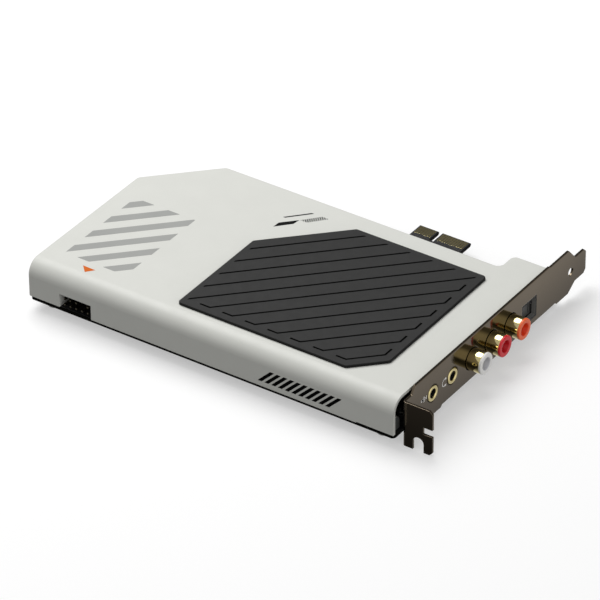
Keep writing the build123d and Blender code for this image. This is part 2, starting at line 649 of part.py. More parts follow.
def make_bracket_nuts():
    """Hexagon nuts on the component side."""
    nuts = []
    for x, y in tab_screw_places():
        plan = RegularPolygon(NUT_ACROSS / 2, 6, major_radius=False)
        plan -= RegularPolygon(BOSS_HOLE / 2, SCREW_SIDE_COUNT)
        nuts.append(Pos(x, y, BOARD_TOP) * extrude(plan, NUT_HEIGHT))
    return Compound(children=nuts)


def housing_block(index, depth):
    """Moulded connector body on the board behind the bracket, with its upper edges cut."""
    y = connector_y(index)
    block = span(HOUSING_FRONT - depth, HOUSING_FRONT, y - HOUSING_WIDTH / 2, y + HOUSING_WIDTH / 2,
                 BOARD_TOP, AXIS_Z + HOUSING_RISE)
    return chamfer(block.edges().filter_by(Axis.X).group_by(Axis.Z)[-1], HOUSING_CHAMFER)


def make_jack_housing(index):
    """Socket body with a bore for the sleeve and a chamber for the contact strips."""
    y = connector_y(index)
    housing = housing_block(index, JACK_DEPTH)
    housing -= out_rod(JACK_SLEEVE / 2, y, AXIS_Z, HOUSING_FRONT - JACK_SLEEVE_LENGTH, HOUSING_FRONT)
    back = HOUSING_FRONT - JACK_DEPTH
    for side in (-1, 1):
        strip_y = y + side * JACK_STRIP_OFFSET
        housing -= span(back, back + JACK_CHAMBER, strip_y - JACK_STRIP, strip_y + JACK_STRIP,
                        BOARD_TOP, AXIS_Z)
    return housing


def make_jack_bush(index):
    """Gilded bush with a thin sleeve that guides the plug."""
    y = connector_y(index)
    front = BRACKET_FACE + JACK_PROUD
    bush = out_rod(JACK_BUSH / 2, y, AXIS_Z, HOUSING_FRONT, front)
    bush = chamfer(bush.edges().filter_by(GeomType.CIRCLE).sort_by(Axis.X)[-1], JACK_PROUD)
    bush += out_rod(JACK_SLEEVE / 2, y, AXIS_Z, HOUSING_FRONT - JACK_SLEEVE_LENGTH, HOUSING_FRONT)
    return bush - out_rod(JACK_BORE / 2, y, AXIS_Z, HOUSING_FRONT - JACK_SLEEVE_LENGTH, front)


def make_jack_contacts():
    """Contact strips in the chambers of both sockets."""
    strips = []
    back = HOUSING_FRONT - JACK_DEPTH
    for index in range(JACK_COUNT):
        for side in (-1, 1):
            y = connector_y(index) + side * JACK_STRIP_OFFSET
            strips.append(span(back, back + JACK_STRIP_LENGTH, y - JACK_STRIP / 2, y + JACK_STRIP / 2,
                               BOARD_TOP, AXIS_Z - JACK_STRIP))
    return Compound(children=strips)


def make_phono_housing(index):
    """Moulded block behind the bracket with a bore for the barrel's stem."""
    stem = PHONO_BARREL / 2 - PHONO_STEP
    bore = out_rod(stem, connector_y(index), AXIS_Z, PHONO_BACK, HOUSING_FRONT)
    return housing_block(index, PHONO_DEPTH) - bore


def make_phono_barrel(index):
    """Gilded outer contact: a tube that stands out of the bracket, on a slimmer stem."""
    y = connector_y(index)
    shoulder = BRACKET_FACE + PHONO_SHOULDER
    end = PHONO_MOUTH_FACE - PHONO_CAP
    barrel = out_rod(PHONO_BARREL / 2, y, AXIS_Z, shoulder, end)
    barrel += out_rod(PHONO_BARREL / 2 - PHONO_STEP, y, AXIS_Z, PHONO_BACK, shoulder)
    return barrel - out_rod(PHONO_BARREL / 2 - PHONO_BARREL_WALL, y, AXIS_Z, PHONO_BACK, end)


def make_phono_insulator(index):
    """Coloured insulator: fills the barrel, caps its mouth and funnels the plug's pin."""
    y = connector_y(index)
    bore = PHONO_PIN_BORE / 2
    core = PHONO_BARREL / 2 - PHONO_BARREL_WALL
    rim = PHONO_CAP_DIAMETER / 2
    sleeve = bore + PHONO_CONTACT_WALL
    seat = PHONO_MOUTH_FACE - PHONO_CAP
    throat = PHONO_MOUTH_FACE - PHONO_FUNNEL
    profile = [(PHONO_BACK, sleeve), (PHONO_BACK, core), (seat, core), (seat, rim),
               (PHONO_MOUTH_FACE - PHONO_CAP_CHAMFER, rim), (PHONO_MOUTH_FACE, rim - PHONO_CAP_CHAMFER),
               (PHONO_MOUTH_FACE, PHONO_MOUTH / 2), (throat, bore), (throat, sleeve)]
    section = make_face(Polyline(*profile, close=True))
    return Pos(0, y, AXIS_Z) * revolve(section, Axis.X)


def make_phono_contact(index):
    """Inner contact, a brass tube behind the funnel."""
    y = connector_y(index)
    bore = PHONO_PIN_BORE / 2
    ends = (PHONO_BACK, PHONO_MOUTH_FACE - PHONO_FUNNEL)
    return out_rod(bore + PHONO_CONTACT_WALL, y, AXIS_Z, *ends) - out_rod(bore, y, AXIS_Z, *ends)


def make_optical_housing():
    """Socket body with a square mouth, a chamber for the swinging shutter and its pin holes."""
    y = connector_y(OPTICAL_INDEX)
    low_side = y - CAVITY_LOW_SIDE
    hinge_side = y + CAVITY_HINGE_SIDE
    top = OPTICAL_Z + CAVITY_RISE
    body = span(OPTICAL_BACK, HOUSING_FRONT, low_side - OPTICAL_WALL, hinge_side + OPTICAL_WALL,
                BOARD_TOP, top + OPTICAL_WALL)
    nose_w = OPTICAL_NOSE_WIDTH / 2
    nose_h = OPTICAL_NOSE_HEIGHT / 2
    body += span(HOUSING_FRONT, BRACKET_FACE, y - nose_w, y + nose_w,
                 OPTICAL_Z - nose_h, OPTICAL_Z + nose_h)
    mouth_w = OPTICAL_MOUTH_WIDTH / 2
    mouth_h = OPTICAL_MOUTH_HEIGHT / 2
    body -= span(SHUTTER_FRONT, BRACKET_FACE, y - mouth_w, y + mouth_w,
                 OPTICAL_Z - mouth_h, OPTICAL_Z + mouth_h)
    chamber = OPTICAL_BACK + LENS_LENGTH
    body -= span(chamber, CAVITY_FRONT, low_side, hinge_side, OPTICAL_Z - CAVITY_RISE, top)
    body -= out_rod(LENS_DIAMETER / 2, y, OPTICAL_Z, OPTICAL_BACK, chamber)
    reach = SHUTTER_RISE + HINGE_PIN_LENGTH + HINGE_RUNNING
    return body - Pos(SHUTTER_MID, HINGE_Y, OPTICAL_Z) * rod(HINGE_PIN / 2 + HINGE_RUNNING, -reach, reach)


def make_optical_emitter():
    """Light source behind the socket, its lens through the back wall."""
    y = connector_y(OPTICAL_INDEX)
    lens = out_rod(LENS_DIAMETER / 2, y, OPTICAL_Z, OPTICAL_BACK, OPTICAL_BACK + LENS_LENGTH)
    block = span(OPTICAL_BACK - LENS_LENGTH, OPTICAL_BACK, y - LENS_DIAMETER, y + LENS_DIAMETER,
                 BOARD_TOP, OPTICAL_Z + LENS_DIAMETER)
    return block + lens


def make_optical_shutter():
    """Door that swings into the socket: plate, round hinge edge with two pins and two upright grooves."""
    y = connector_y(OPTICAL_INDEX)
    low, high = OPTICAL_Z - SHUTTER_RISE, OPTICAL_Z + SHUTTER_RISE
    door = span(SHUTTER_FRONT - SHUTTER_THICK, SHUTTER_FRONT, y - SHUTTER_HALF, HINGE_Y, low, high)
    door += Pos(SHUTTER_MID, HINGE_Y, 0) * rod(SHUTTER_THICK / 2, low, high)
    room = SPRING_RADIUS + SPRING_WIRE
    door -= span(SHUTTER_MID - room, SHUTTER_MID + room, HINGE_Y - room, HINGE_Y + room,
                 OPTICAL_Z - SPRING_ROOM, OPTICAL_Z + SPRING_ROOM)
    pins = rod(HINGE_PIN / 2, low - HINGE_PIN_LENGTH, high + HINGE_PIN_LENGTH)
    door += Pos(SHUTTER_MID, HINGE_Y, 0) * pins
    half = SHUTTER_GROOVE / 2
    rise = SHUTTER_RISE - SHUTTER_GROOVE_MARGIN
    for offset in SHUTTER_GROOVE_PLACES:
        groove_y = y + offset
        door -= span(SHUTTER_FRONT - SHUTTER_GROOVE, SHUTTER_FRONT, groove_y - half, groove_y + half,
                     OPTICAL_Z - rise, OPTICAL_Z + rise)
    return door


def make_shutter_spring():
    """Torsion spring of square wire round the hinge pin, with a leg along the door's back."""
    height = SPRING_TURN_COUNT * SPRING_PITCH
    coil_path = Helix(SPRING_PITCH, height, SPRING_RADIUS)
    start = Plane(origin=coil_path @ 0, z_dir=coil_path % 0)
    coil = sweep(start * Rectangle(SPRING_WIRE, SPRING_WIRE), coil_path, is_frenet=True)
    leg = Pos(SPRING_RADIUS, -SPRING_LEG / 2, 0) * Box(SPRING_WIRE, SPRING_LEG, SPRING_WIRE)
    place = Pos(SHUTTER_MID, HINGE_Y, OPTICAL_Z - height / 2) * Rot(180, 0, 180)
    return place * Pos(0, 0, -height) * (coil + leg)


def header_pin_places():
    """Column X and row height of each pin; one place is left out as the key."""
    first = HEADER_X - (HEADER_COLUMN_COUNT - 1) * HEADER_PITCH / 2
    places = [(first + c * HEADER_PITCH, row) for c in range(HEADER_COLUMN_COUNT) for row in range(2)]
    return [place for i, place in enumerate(places) if i != len(places) - HEADER_KEY_FROM_END]


def header_row_z(row):
    """Height of a row of pins."""
    return BOARD_TOP + (row + 0.5) * HEADER_PITCH


def header_tail(row):
    """Y where the pins of a row end behind the header."""
    return HEADER_FRONT + HEADER_BODY_DEPTH + HEADER_TAIL + row * HEADER_PITCH


def make_header_body():
    """Insulator of the front panel header, with a square hole for every pin."""
    half = HEADER_COLUMN_COUNT * HEADER_PITCH / 2
    back = HEADER_FRONT + HEADER_BODY_DEPTH
    top = BOARD_TOP + 2 * HEADER_PITCH
    body = span(HEADER_X - half, HEADER_X + half, HEADER_FRONT, back, BOARD_TOP, top)
    body = chamfer(body.edges().filter_by(Axis.Y), HEADER_CHAMFER)
    pin = HEADER_PIN / 2
    for column, row in header_pin_places():
        z = header_row_z(row)
        body -= span(column - pin, column + pin, HEADER_FRONT, back, z - pin, z + pin)
    return body


def make_header_pins():
    """Square pins that point out through the window and bend down to the board behind."""
    pins = []
    pin = HEADER_PIN / 2
    for column, row in header_pin_places():
        z = header_row_z(row)
        tail = header_tail(row)
        level = span(column - pin, column + pin, HEADER_FRONT - HEADER_PIN_REACH, tail, z - pin, z + pin)
        level = chamfer(level.faces().sort_by(Axis.Y)[0].edges(), HEADER_TIP)
        pins.append(level + span(column - pin, column + pin, tail - HEADER_PIN, tail, BOARD_TOP, z + pin))
    return Compound(children=pins)


def on_board(place, size):
    """Box part that sits on the board, with its middle at an X and Y."""
    x, y = place
    length, width, height = size
    return span(x - length / 2, x + length / 2, y - width / 2, y + width / 2, BOARD_TOP, BOARD_TOP + height)


def leaded_chip(place, size, leads, pitch, four_sides):
    """Moulded chip with flat leads on two or four sides."""
    body = on_board(place, size)
    body = chamfer(body.edges().group_by(Axis.Z)[-1], CHIP_CHAMFER)
    x, y = place
    length, width, height = size
    stubs = []
    for i in range(leads):
        shift = (i - (leads - 1) / 2) * pitch
        for side in (-1, 1):
            out = x + side * (length + LEAD_REACH) / 2
            stubs.append(on_board((out, y + shift), (LEAD_REACH, LEAD_WIDTH, LEAD_THICK)))
            if four_sides:
                out = y + side * (width + LEAD_REACH) / 2
                stubs.append(on_board((x + shift, out), (LEAD_WIDTH, LEAD_REACH, LEAD_THICK)))
    return body + stubs


def make_audio_processor():
    """Large square chip with leads on four sides."""
    place = (behind(PROCESSOR_PLACE[0]), along(PROCESSOR_PLACE[1]))
    size = (PROCESSOR_SIDE, PROCESSOR_SIDE, PROCESSOR_HEIGHT)
    return leaded_chip(place, size, PROCESSOR_LEAD_COUNT, PROCESSOR_LEAD_PITCH, True)


def make_converter(name):
    """Square converter or amplifier chip."""
    u, v = CONVERTER_PLACES[name]
    size = (CONVERTER_SIDE, CONVERTER_SIDE, CONVERTER_HEIGHT)
    return leaded_chip((behind(u), along(v)), size, CONVERTER_LEAD_COUNT, LEAD_PITCH, True)


def small_chip(place):
    """Chip with leads on its two long sides."""
    size = (SMALL_CHIP_WIDTH, SMALL_CHIP_LENGTH, SMALL_CHIP_HEIGHT)
    return leaded_chip(place, size, SMALL_CHIP_LEAD_COUNT, LEAD_PITCH, False)


def make_op_amps():
    """Row of amplifier chips."""
    return Compound(children=[small_chip(place) for place in row_places(OP_AMP_ROWS)])


def make_memory():
    """Small memory chip."""
    return small_chip((behind(MEMORY_PLACE[0]), along(MEMORY_PLACE[1])))


def make_capacitor_bases():
    """Plastic bases of the electrolytic capacitors, with their upright edges cut."""
    bases = []
    for place in row_places(CAN_ROWS):
        base = on_board(place, (CAN_BASE, CAN_BASE, CAN_BASE_HEIGHT))
        bases.append(chamfer(base.edges().filter_by(Axis.Z), CAN_BASE_CUT))
    return Compound(children=bases)


def make_capacitor_cans():
    """Cans of the electrolytic capacitors, faceted finely enough to look round under the cover."""
    cans = []
    for x, y in row_places(CAN_ROWS):
        can = faceted(CAN_DIAMETER / 2, CAN_SIDE_COUNT, BOARD_TOP + CAN_BASE_HEIGHT, BOARD_TOP + CAN_HEIGHT)
        cans.append(Pos(x, y, 0) * chamfer(can.edges().group_by(Axis.Z)[-1], CAN_CHAMFER))
    return Compound(children=cans)


def chamfered_parts(rows, size, cut):
    """Like moulded parts on the board, with their upper edges broken."""
    parts = []
    for place in row_places(rows):
        part = on_board(place, size)
        parts.append(chamfer(part.edges().group_by(Axis.Z)[-1], cut))
    return Compound(children=parts)


def plain_parts(rows, size):
    """Like small parts on the board."""
    return Compound(children=[on_board(place, size) for place in row_places(rows)])


def solder_places():
    """Where leads come through the board."""
    places = []
    front = HOUSING_FRONT - SOLDER_FRONT
    for index in range(OPTICAL_INDEX + 1):
        y = connector_y(index)
        places += [(front, y - SOLDER_SPREAD), (front, y + SOLDER_SPREAD), (HOUSING_FRONT - SOLDER_BACK, y)]
    places += [(column, header_tail(row) - HEADER_PIN / 2) for column, row in header_pin_places()]
    across, lengthwise = RELAY_LEADS
    for x, y in row_places(RELAY_ROWS):
        for side in (-0.5, 0.5):
            places += [(x + side * across, y - lengthwise / 2), (x + side * across, y + lengthwise / 2)]
    for x, y in row_places(FILM_CAP_ROWS):
        places += [(x - FILM_CAP_LEADS / 2, y), (x + FILM_CAP_LEADS / 2, y)]
    return places


def make_solder_joints():
    """Faceted cones of solder on the back of the board."""
    slope = math.degrees(math.atan2(SOLDER_RADIUS - SOLDER_TIP, SOLDER_HEIGHT))
    foot = RegularPolygon(SOLDER_RADIUS, SOLDER_SIDE_COUNT)
    cone = Rot(180, 0, 0) * extrude(foot, SOLDER_HEIGHT, taper=slope)
    return Compound(children=[Pos(x, y, BOARD_UNDER) * cone for x, y in solder_places()])


def build():
    """Every sub-part by its name."""
    parts = {
        "board": make_board(),
        "edge_contacts": make_edge_contacts(),
        "bracket": make_bracket(),
        "bracket_screws": make_bracket_screws(),
        "bracket_nuts": make_bracket_nuts(),
        "cover": make_cover(),
        "cover_screws": make_cover_screws(),
        "accent_panel": make_accent_panel(),
        "jack_contacts": make_jack_contacts(),
        "optical_housing": make_optical_housing(),
        "optical_emitter": make_optical_emitter(),
        "optical_shutter": make_optical_shutter(),
        "shutter_spring": make_shutter_spring(),
        "header_body": make_header_body(),
        "header_pins": make_header_pins(),
        "audio_processor": make_audio_processor(),
        "op_amp_chips": make_op_amps(),
        "memory_chip": make_memory(),
        "bulk_capacitors": make_capacitor_cans(),
        "bulk_capacitor_bases": make_capacitor_bases(),
        "film_capacitors": chamfered_parts(FILM_CAP_ROWS, FILM_CAP_SIZE, FILM_CAP_CHAMFER),
        "relays": chamfered_parts(RELAY_ROWS, RELAY_SIZE, RELAY_CHAMFER),
        "inductors": chamfered_parts(INDUCTOR_ROWS, INDUCTOR_SIZE, INDUCTOR_CHAMFER),
        "regulators": chamfered_parts(REGULATOR_ROWS, REGULATOR_SIZE, REGULATOR_CHAMFER),
        "crystal_cans": chamfered_parts(CRYSTAL_ROWS, CRYSTAL_SIZE, CRYSTAL_CHAMFER),
        "supply_capacitors": chamfered_parts(SUPPLY_CAP_ROWS, SUPPLY_CAP_SIZE, SUPPLY_CAP_CHAMFER),
        "chip_capacitors": plain_parts(CHIP_CAP_ROWS, CHIP_CAP_SIZE),
        "chip_resistors": plain_parts(RESISTOR_ROWS, RESISTOR_SIZE),
        "solder_joints": make_solder_joints(),
    }
    for name in CONVERTER_PLACES:
        parts[name] = make_converter(name)
    for index, use in enumerate(JACK_NAMES):
        parts[use + "_jack_housing"] = make_jack_housing(index)
        parts[use + "_jack_bush"] = make_jack_bush(index)
    for index, colour in enumerate(PHONO_NAMES):
        parts["phono_" + colour + "_housing"] = make_phono_housing(JACK_COUNT + index)
        parts["phono_" + colour + "_barrel"] = make_phono_barrel(JACK_COUNT + index)
        parts["phono_" + colour + "_insulator"] = make_phono_insulator(JACK_COUNT + index)
        parts["phono_" + colour + "_contact"] = make_phono_contact(JACK_COUNT + index)
    return parts


os.makedirs("parts", exist_ok=True)
for part_name, shape in build().items():
    export_step(shape, "parts/" + part_name + ".step")
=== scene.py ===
import json
import math

import bmesh
import bpy
from mathutils import Euler, Matrix, Vector


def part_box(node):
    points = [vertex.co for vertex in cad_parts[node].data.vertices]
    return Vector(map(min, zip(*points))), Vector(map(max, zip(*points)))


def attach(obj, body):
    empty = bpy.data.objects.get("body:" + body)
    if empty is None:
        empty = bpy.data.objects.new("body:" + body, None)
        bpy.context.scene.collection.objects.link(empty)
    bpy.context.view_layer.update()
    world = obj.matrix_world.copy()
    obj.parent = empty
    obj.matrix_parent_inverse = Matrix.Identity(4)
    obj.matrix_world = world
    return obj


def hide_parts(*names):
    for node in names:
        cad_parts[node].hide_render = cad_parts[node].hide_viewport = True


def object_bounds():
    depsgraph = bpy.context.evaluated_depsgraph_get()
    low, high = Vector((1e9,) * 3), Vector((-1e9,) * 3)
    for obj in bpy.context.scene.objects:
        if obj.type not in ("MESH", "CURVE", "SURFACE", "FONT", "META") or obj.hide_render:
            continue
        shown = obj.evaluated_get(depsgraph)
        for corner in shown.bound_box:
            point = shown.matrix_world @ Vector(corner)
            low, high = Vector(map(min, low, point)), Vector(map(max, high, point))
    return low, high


# Sound card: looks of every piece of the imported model, in the model's own frame

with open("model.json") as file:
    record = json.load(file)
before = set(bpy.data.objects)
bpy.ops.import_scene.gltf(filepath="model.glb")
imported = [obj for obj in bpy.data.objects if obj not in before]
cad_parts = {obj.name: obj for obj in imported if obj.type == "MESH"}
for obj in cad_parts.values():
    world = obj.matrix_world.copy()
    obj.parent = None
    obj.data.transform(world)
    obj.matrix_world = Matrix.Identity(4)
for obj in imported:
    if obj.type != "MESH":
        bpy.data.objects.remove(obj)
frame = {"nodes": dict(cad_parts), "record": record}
cad_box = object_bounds()
nodes = frame["nodes"]

# The scene is in metres, so a size in millimetres is multiplied by MM
MM = 0.001
CARD = "card"
FULL_TURN = 2 * math.pi
ALONG_X = Vector((1.0, 0.0, 0.0))
UPRIGHT = Vector((0.0, 0.0, 1.0))


def box_of(node):
    """Lowest and highest corner of a node of the model, in millimetres."""
    return [Vector(corner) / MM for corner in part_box(node)]


# Camera, as it stood for the photograph: place in metres, turn in degrees, lens and sensor in millimetres
CAMERA_PLACE = Vector((785.80, -1246.82, 971.10)) * MM
CAMERA_TURN = (55.82246, 0.26953, 34.05611)
CAMERA_LENS = 289.054
CAMERA_SENSOR = 36.0
CAMERA_REACH = 20.0

# Floor just below the card, and one large soft light above, a little behind and to the left; in metres
FLOOR_GAP = 0.04 * MM
FLOOR_SIZE = 4.0
FLOOR_GREY = (0.6, 0.6, 0.6)
FLOOR_ROUGHNESS = 0.9
FLOOR_GLOW = 0.42
WHITE = (1.0, 1.0, 1.0, 1.0)
LIT_POINT = Vector((-20.0, -65.0, 5.0)) * MM
KEY_DIRECTION = Vector((-0.466, 0.223, 0.856))
KEY_DISTANCE = 1.2
KEY_SIZE = 1.0
KEY_POWER = 12.9

# Light of the room: where its change begins and ends along an axis, and its strength there
TABLE_LIGHT = (-0.75, 0.6, 0.07, 0.75)
ROOM_LIGHT = (-0.5, 0.5, 0.52, 0.12)
SIDE_LIGHT = (0.55, 0.95, 0.0, 0.75)
SIDE_SHADE = (0.1, 0.45, 1.0, 0.68)
HORIZON = (-0.25, 0.2, 0.0, 1.0)

# Patterns of the finishes: their span, their grains in millimetres and what they change in the roughness
PATTERN_SPAN = (0.3, 0.7)
PATTERN_DETAIL = 3.0
PLASTIC_CLOUD = 9.0
PLASTIC_PATCH = 4.0
PLASTIC_ROUGH = (-0.04, 0.05)
METAL_CLOUD = 6.0
METAL_PATCH = 2.5
METAL_ROUGH = (0.8, 1.25)
EDGE_SAMPLES = 6
# Black of the painted shade at the bottom of grooves
GROOVE_PAINTED_SHADE = (0.004, 0.004, 0.004)

# Places on the model and common sizes, in millimetres, as all sizes below are
COVER_TOP = box_of("cover")[1].z
COVER_NEAR = box_of("cover")[0].y
COVER_END = box_of("cover")[1].x
BOARD_TOP = box_of("board")[1].z
BOARD_NEAR = box_of("board")[0].y
BOARD_END = box_of("board")[1].x
INK = 0.03
MERGE_GAP = 0.0005

# The optical socket's front lies in the bracket's face
BRACKET_FACE = box_of("optical_housing")[1].x

# Angle in degrees from which an edge stays sharp, and how nearly a face points along an axis to face it
SHARP_ANGLE = 40.0
FACING = 0.9

# Cover: the face of its end rib, behind the cover's end, gets a painted shade from the bracket
COVER_GREY = (0.67, 0.675, 0.632)
RIB_SETBACK = 1.2
RIB_REACH = 0.2
RIB_PAINTED_SHADE = (0.10, 0.105, 0.10)

# Accent panel: depth of its grooves, and where in them the black of painted shade ends and its own colour
# begins
PANEL_DARK = (0.0235, 0.0235, 0.023)
PANEL_GROOVE = 0.7
PANEL_STOPS = (0.7, 0.9)

# Door of the optical socket: depth of its grooves, and where in them the black of painted shade ends and its
# own colour begins
DOOR_GREY = (0.092, 0.093, 0.088)
DOOR_GROOVE = 0.3
DOOR_STOPS = (0.3, 0.9)

# Bracket: its heights and its span along Y, and how much painted reflection lightens or darkens its plating
# at places of them
BRACKET_PLATING = (0.218, 0.177, 0.129)
BRACKET_RISE = (-2.5, 16.5)
BRACKET_RISE_PAINTED_SHEEN = [(0.0, 0.62), (0.85, 1.12)]
BRACKET_SPAN = (-112.0, 4.0)
BRACKET_SPAN_PAINTED_SHEEN = [(0.0, 0.73), (0.5, 0.88), (0.72, 1.0), (0.9, 0.94), (1.0, 0.88)]

# Board: solder mask on its flat sides, bare fibre along its cut edges, and the slopes between the two
MASK_BLACK = (0.010, 0.010, 0.011)
MASK_GLOSS = 0.35
FIBRE_BLACK = (0.003, 0.003, 0.002)
FIBRE_GLOSS = 0.03
FIBRE_SPAN = (0.3, 0.7)

# Pins of the header: gilt darkened as painted shade
PIN_SHADED_GILT = (0.13, 0.115, 0.085)

# Inks, lacquer and plating of the prints
STRIPE_GREY = (0.365, 0.37, 0.355)
ARROW_ORANGE = (0.70, 0.15, 0.018)
BAR_BLACK = (0.006, 0.006, 0.006)
LEGEND_WHITE = (0.88, 0.87, 0.84)
OUTLINE_GREY = (0.50, 0.50, 0.48)
TRACK_BLACK = (0.022, 0.022, 0.023)
VIA_TIN = (0.42, 0.36, 0.20)
SUPPLY_BROWN = (0.11, 0.035, 0.012)

# Printed stripes on the cover's tail: their field along X and Y; along each of them X minus Y stays the same
STRIPE_FIELD = (-93.5, -66.8, -104.5, -61.3)
STRIPE_START = -28.7
STRIPE_WIDTH = 5.1
STRIPE_PITCH = 11.3
STRIPE_COUNT = 6

# Printed marks on the cover: corners along X and Y; along each line of the hatch X plus Y stays the same
ARROW_CORNERS = [(-83.2, -107.6), (-77.7, -107.7), (-80.2, -110.7)]
BAR_CORNERS = [(-40.8, -49.1), (-35.8, -43.6), (-35.4, -40.4), (-40.7, -45.9)]
LINE_CORNERS = [(-41.5, -41.9), (-40.6, -41.9), (-33.3, -34.0), (-34.2, -34.0)]
HATCH_CORNERS = [(-35.1, -40.2), (-32.2, -40.2), (-26.9, -34.1), (-29.6, -33.9)]
HATCH_START = -75.3
HATCH_PITCH = 1.12
HATCH_WIDTH = 0.6
HATCH_COUNT = 13

# Slanted vent slots in the near wall, and the black linings in them, which are painted shade
VENT_PAINTED_SHADE = (0.006, 0.006, 0.006)
VENT_START = -1.45
VENT_PITCH = 2.83
VENT_WIDTH = 1.75
VENT_RUN = 5.4
VENT_LOW = 2.4
VENT_COUNT = 11
VENT_SETBACK = 0.12
VENT_DEPTH = 1.3
VENT_LINING = 0.06

# Skirt of the near wall over the board's edge: along X, from the wall's face to the board, and down
SKIRT_ALONG = (-73.4, 39.8)
SKIRT_SETBACK = 0.01
SKIRT_GAP = 0.02
SKIRT_DROP = 0.47
SKIRT_CHAMFER = 0.12

# Sockets on the bracket
PHONO_COLOURS = ("white", "red", "orange")
JACK_USES = ("microphone", "headphone")
TURN_STEPS = 72
ROUND_STEPS = 5
BARREL_WALL = 0.6
BARREL_STEM = 0.2
BARREL_SHOULDER = 0.1
BARREL_ROUND = 0.15
INSULATOR_CAP = 0.85
INSULATOR_MOUTH = 2.4
INSULATOR_BORE = 1.6
INSULATOR_SLEEVE = 2.0
INSULATOR_FUNNEL = 2.0
INSULATOR_ROUND = 0.35
# Where the insulators' painted shade in the mouth gives way to the painted highlight on the rim
INSULATOR_SHADE_TO_HIGHLIGHT = (0.3, 0.5)
BUSH_LIP = 1.25
BUSH_RADIUS = 3.08
BUSH_BORE = 1.8
BUSH_ROUND = 0.38
LINER_SLEEVE = 2.6
LINER_SETBACK = 0.45
LINER_LAP = 0.05
RIM_INNER = 3.4
RIM_OUTER = 3.65
RIM_RISE = 0.06
RIM_DEPTH = 0.2
RIM_INNER_SLOPE = 0.08
RIM_OUTER_SLOPE = 0.1

# Guide in the optical socket's mouth: along Y and Z, and in depth
GUIDE_GREY = (0.25, 0.252, 0.24)
GUIDE_MOUTH = (-35.74, -26.96, 1.26, 8.94)
GUIDE_SETBACK = 0.1
GUIDE_LENGTH = 1.65
GUIDE_WALL = 0.08

# Marks beside the jacks: place and height; bars as centre and size; arcs as centre, radii, start and sweep
MICROPHONE_MARK = (-100.4, 7.4)
MICROPHONE_BARS = [((0.0, 0.9), (1.1, 1.1)), ((0.0, -1.05), (0.3, 0.75)), ((0.0, -1.55), (1.6, 0.3))]
MICROPHONE_ENDS = [(0.0, 1.43), (0.0, 0.37)]
MICROPHONE_END_RADIUS = 0.57
MICROPHONE_CRADLE = ((0.0, 0.4), 0.85, 1.15, math.pi, math.pi)
HEADPHONE_MARK = (-87.25, 6.8)
HEADPHONE_CUPS = [((-1.35, -0.5), (0.75, 1.2)), ((1.35, -0.5), (0.75, 1.2))]
HEADPHONE_BAND = ((0.0, 0.0), 1.3, 1.62, 0.0, math.pi)
MARK_DISC_STEPS = 20
MARK_ARC_STEPS = 16

# Pan head screws: the crown as shares of the radius and heights above the face, then seat, shank and recess
SCREW_STEPS = 24
SCREW_CROWN = [(0.6, 0.0), (0.78, 0.12), (0.92, 0.42), (1.0, 0.95)]
SCREW_HEAD = 1.7
SCREW_SEAT_EDGE = 0.1
SCREW_SHANK = 1.2
SCREW_TIP = 0.3
SCREW_CROSS = (1.35, 0.32)
SCREW_CROSS_DEPTH = 0.8
SCREW_CROSS_TAPER = 0.7

# Solder cones: shares of the foot's radius and of the height, from the board down
SOLDER_STEPS = 12
SOLDER_CONE = [(0.0, 0.0), (1.0, 0.0), (0.66, 0.22), (0.46, 0.55), (0.36, 0.85), (0.2, 1.0), (0.0, 1.0)]

# Ends of the small parts, and the moulded supply capacitors with their straps
CHIP_END = 0.24
CHIP_END_WALL = 0.03
CHIP_END_EDGE = 0.05
SUPPLY_FOOT = 0.12
SUPPLY_STRAP = 0.12
SUPPLY_STRAP_MARGIN = 0.22
SUPPLY_STRAP_SHARE = 0.2
SUPPLY_STRAP_EDGE = 0.05
SUPPLY_EDGE = 0.22
SUPPLY_BAR = 0.75
SUPPLY_BAR_EDGE = INK / 3

# Tracks on the board: from the contacts over the bare strip, which ends at the cover
CONTACT_LAP = 0.3
CONTACT_TOP = box_of("edge_contacts")[0].y + CONTACT_LAP
STRIP_NEAR = -25.65
STRIP_LAP = 1.0
STRIP_TURN = -9.2
TRACE_WIDTH = 0.3
TRACE_RISE = 0.03
TRACE_DEPTH = 1.5 * TRACE_RISE
JOINT_SHARE = 0.53
JOINT_STEPS = 8
VIA_RADIUS = 0.34
PAD_STEPS = 10
SHORT_TRACK = 2.4
TRACK_SHIFT = 8.0
TRACK_SPREAD = 0.35
UPPER_STEP = 0.4
BUS_COUNT = 5
BUS_START = -11.2
BUS_PITCH = 0.9
BUS_HEAD = -45.5
BUS_TAIL = -84.0
BUS_TURN = 1.5
BUS_FALL = 6.0

# Tracks on the back: rows of ends for the contacts' tracks, and two lanes to each socket
LOWER_STEP = 0.5
LOWER_END = -34.0
LOWER_ROWS = 4
LOWER_ROW_PITCH = 1.3
LANE_PLACES = (-1.6, 1.6)
LANE_WIDTH = 0.7
LANE_START = 2.0
LANE_STRAIGHT = 8.0
LANE_SLANT = 5.0
LANE_REACH = 26.0
LANE_PAD_RADIUS = 1.4 * VIA_RADIUS
SOCKET_NODES = ["microphone_jack_housing", "headphone_jack_housing", "phono_white_housing",
                "phono_red_housing", "phono_orange_housing", "optical_housing"]

# Plated holes: fields as X, Y, columns, rows and pitch, thinned by a rule on column and row
VIA_STEPS = 8
VIA_FIELDS = [(-22.0, -62.0, 14, 5, 1.9), (-60.0, -92.0, 9, 4, 2.2), (16.0, -98.0, 7, 6, 2.4),
              (-88.0, -56.0, 6, 8, 2.3), (6.0, -46.0, 10, 3, 2.0)]
VIA_RULE = (3, 5, 4)

# Printed outlines round parts, kept away from the board's end
SILK_WIDTH = 0.18
SILK_MARGIN = 0.45
SILK_INSET = 0.65
OUTLINED_NODES = ["header_body", "audio_processor", "dac_chip", "adc_chip", "headphone_amp_chip"]


# Materials

def shader_of(material):
    """Main shader of a finish."""
    return material.node_tree.nodes["Principled BSDF"]


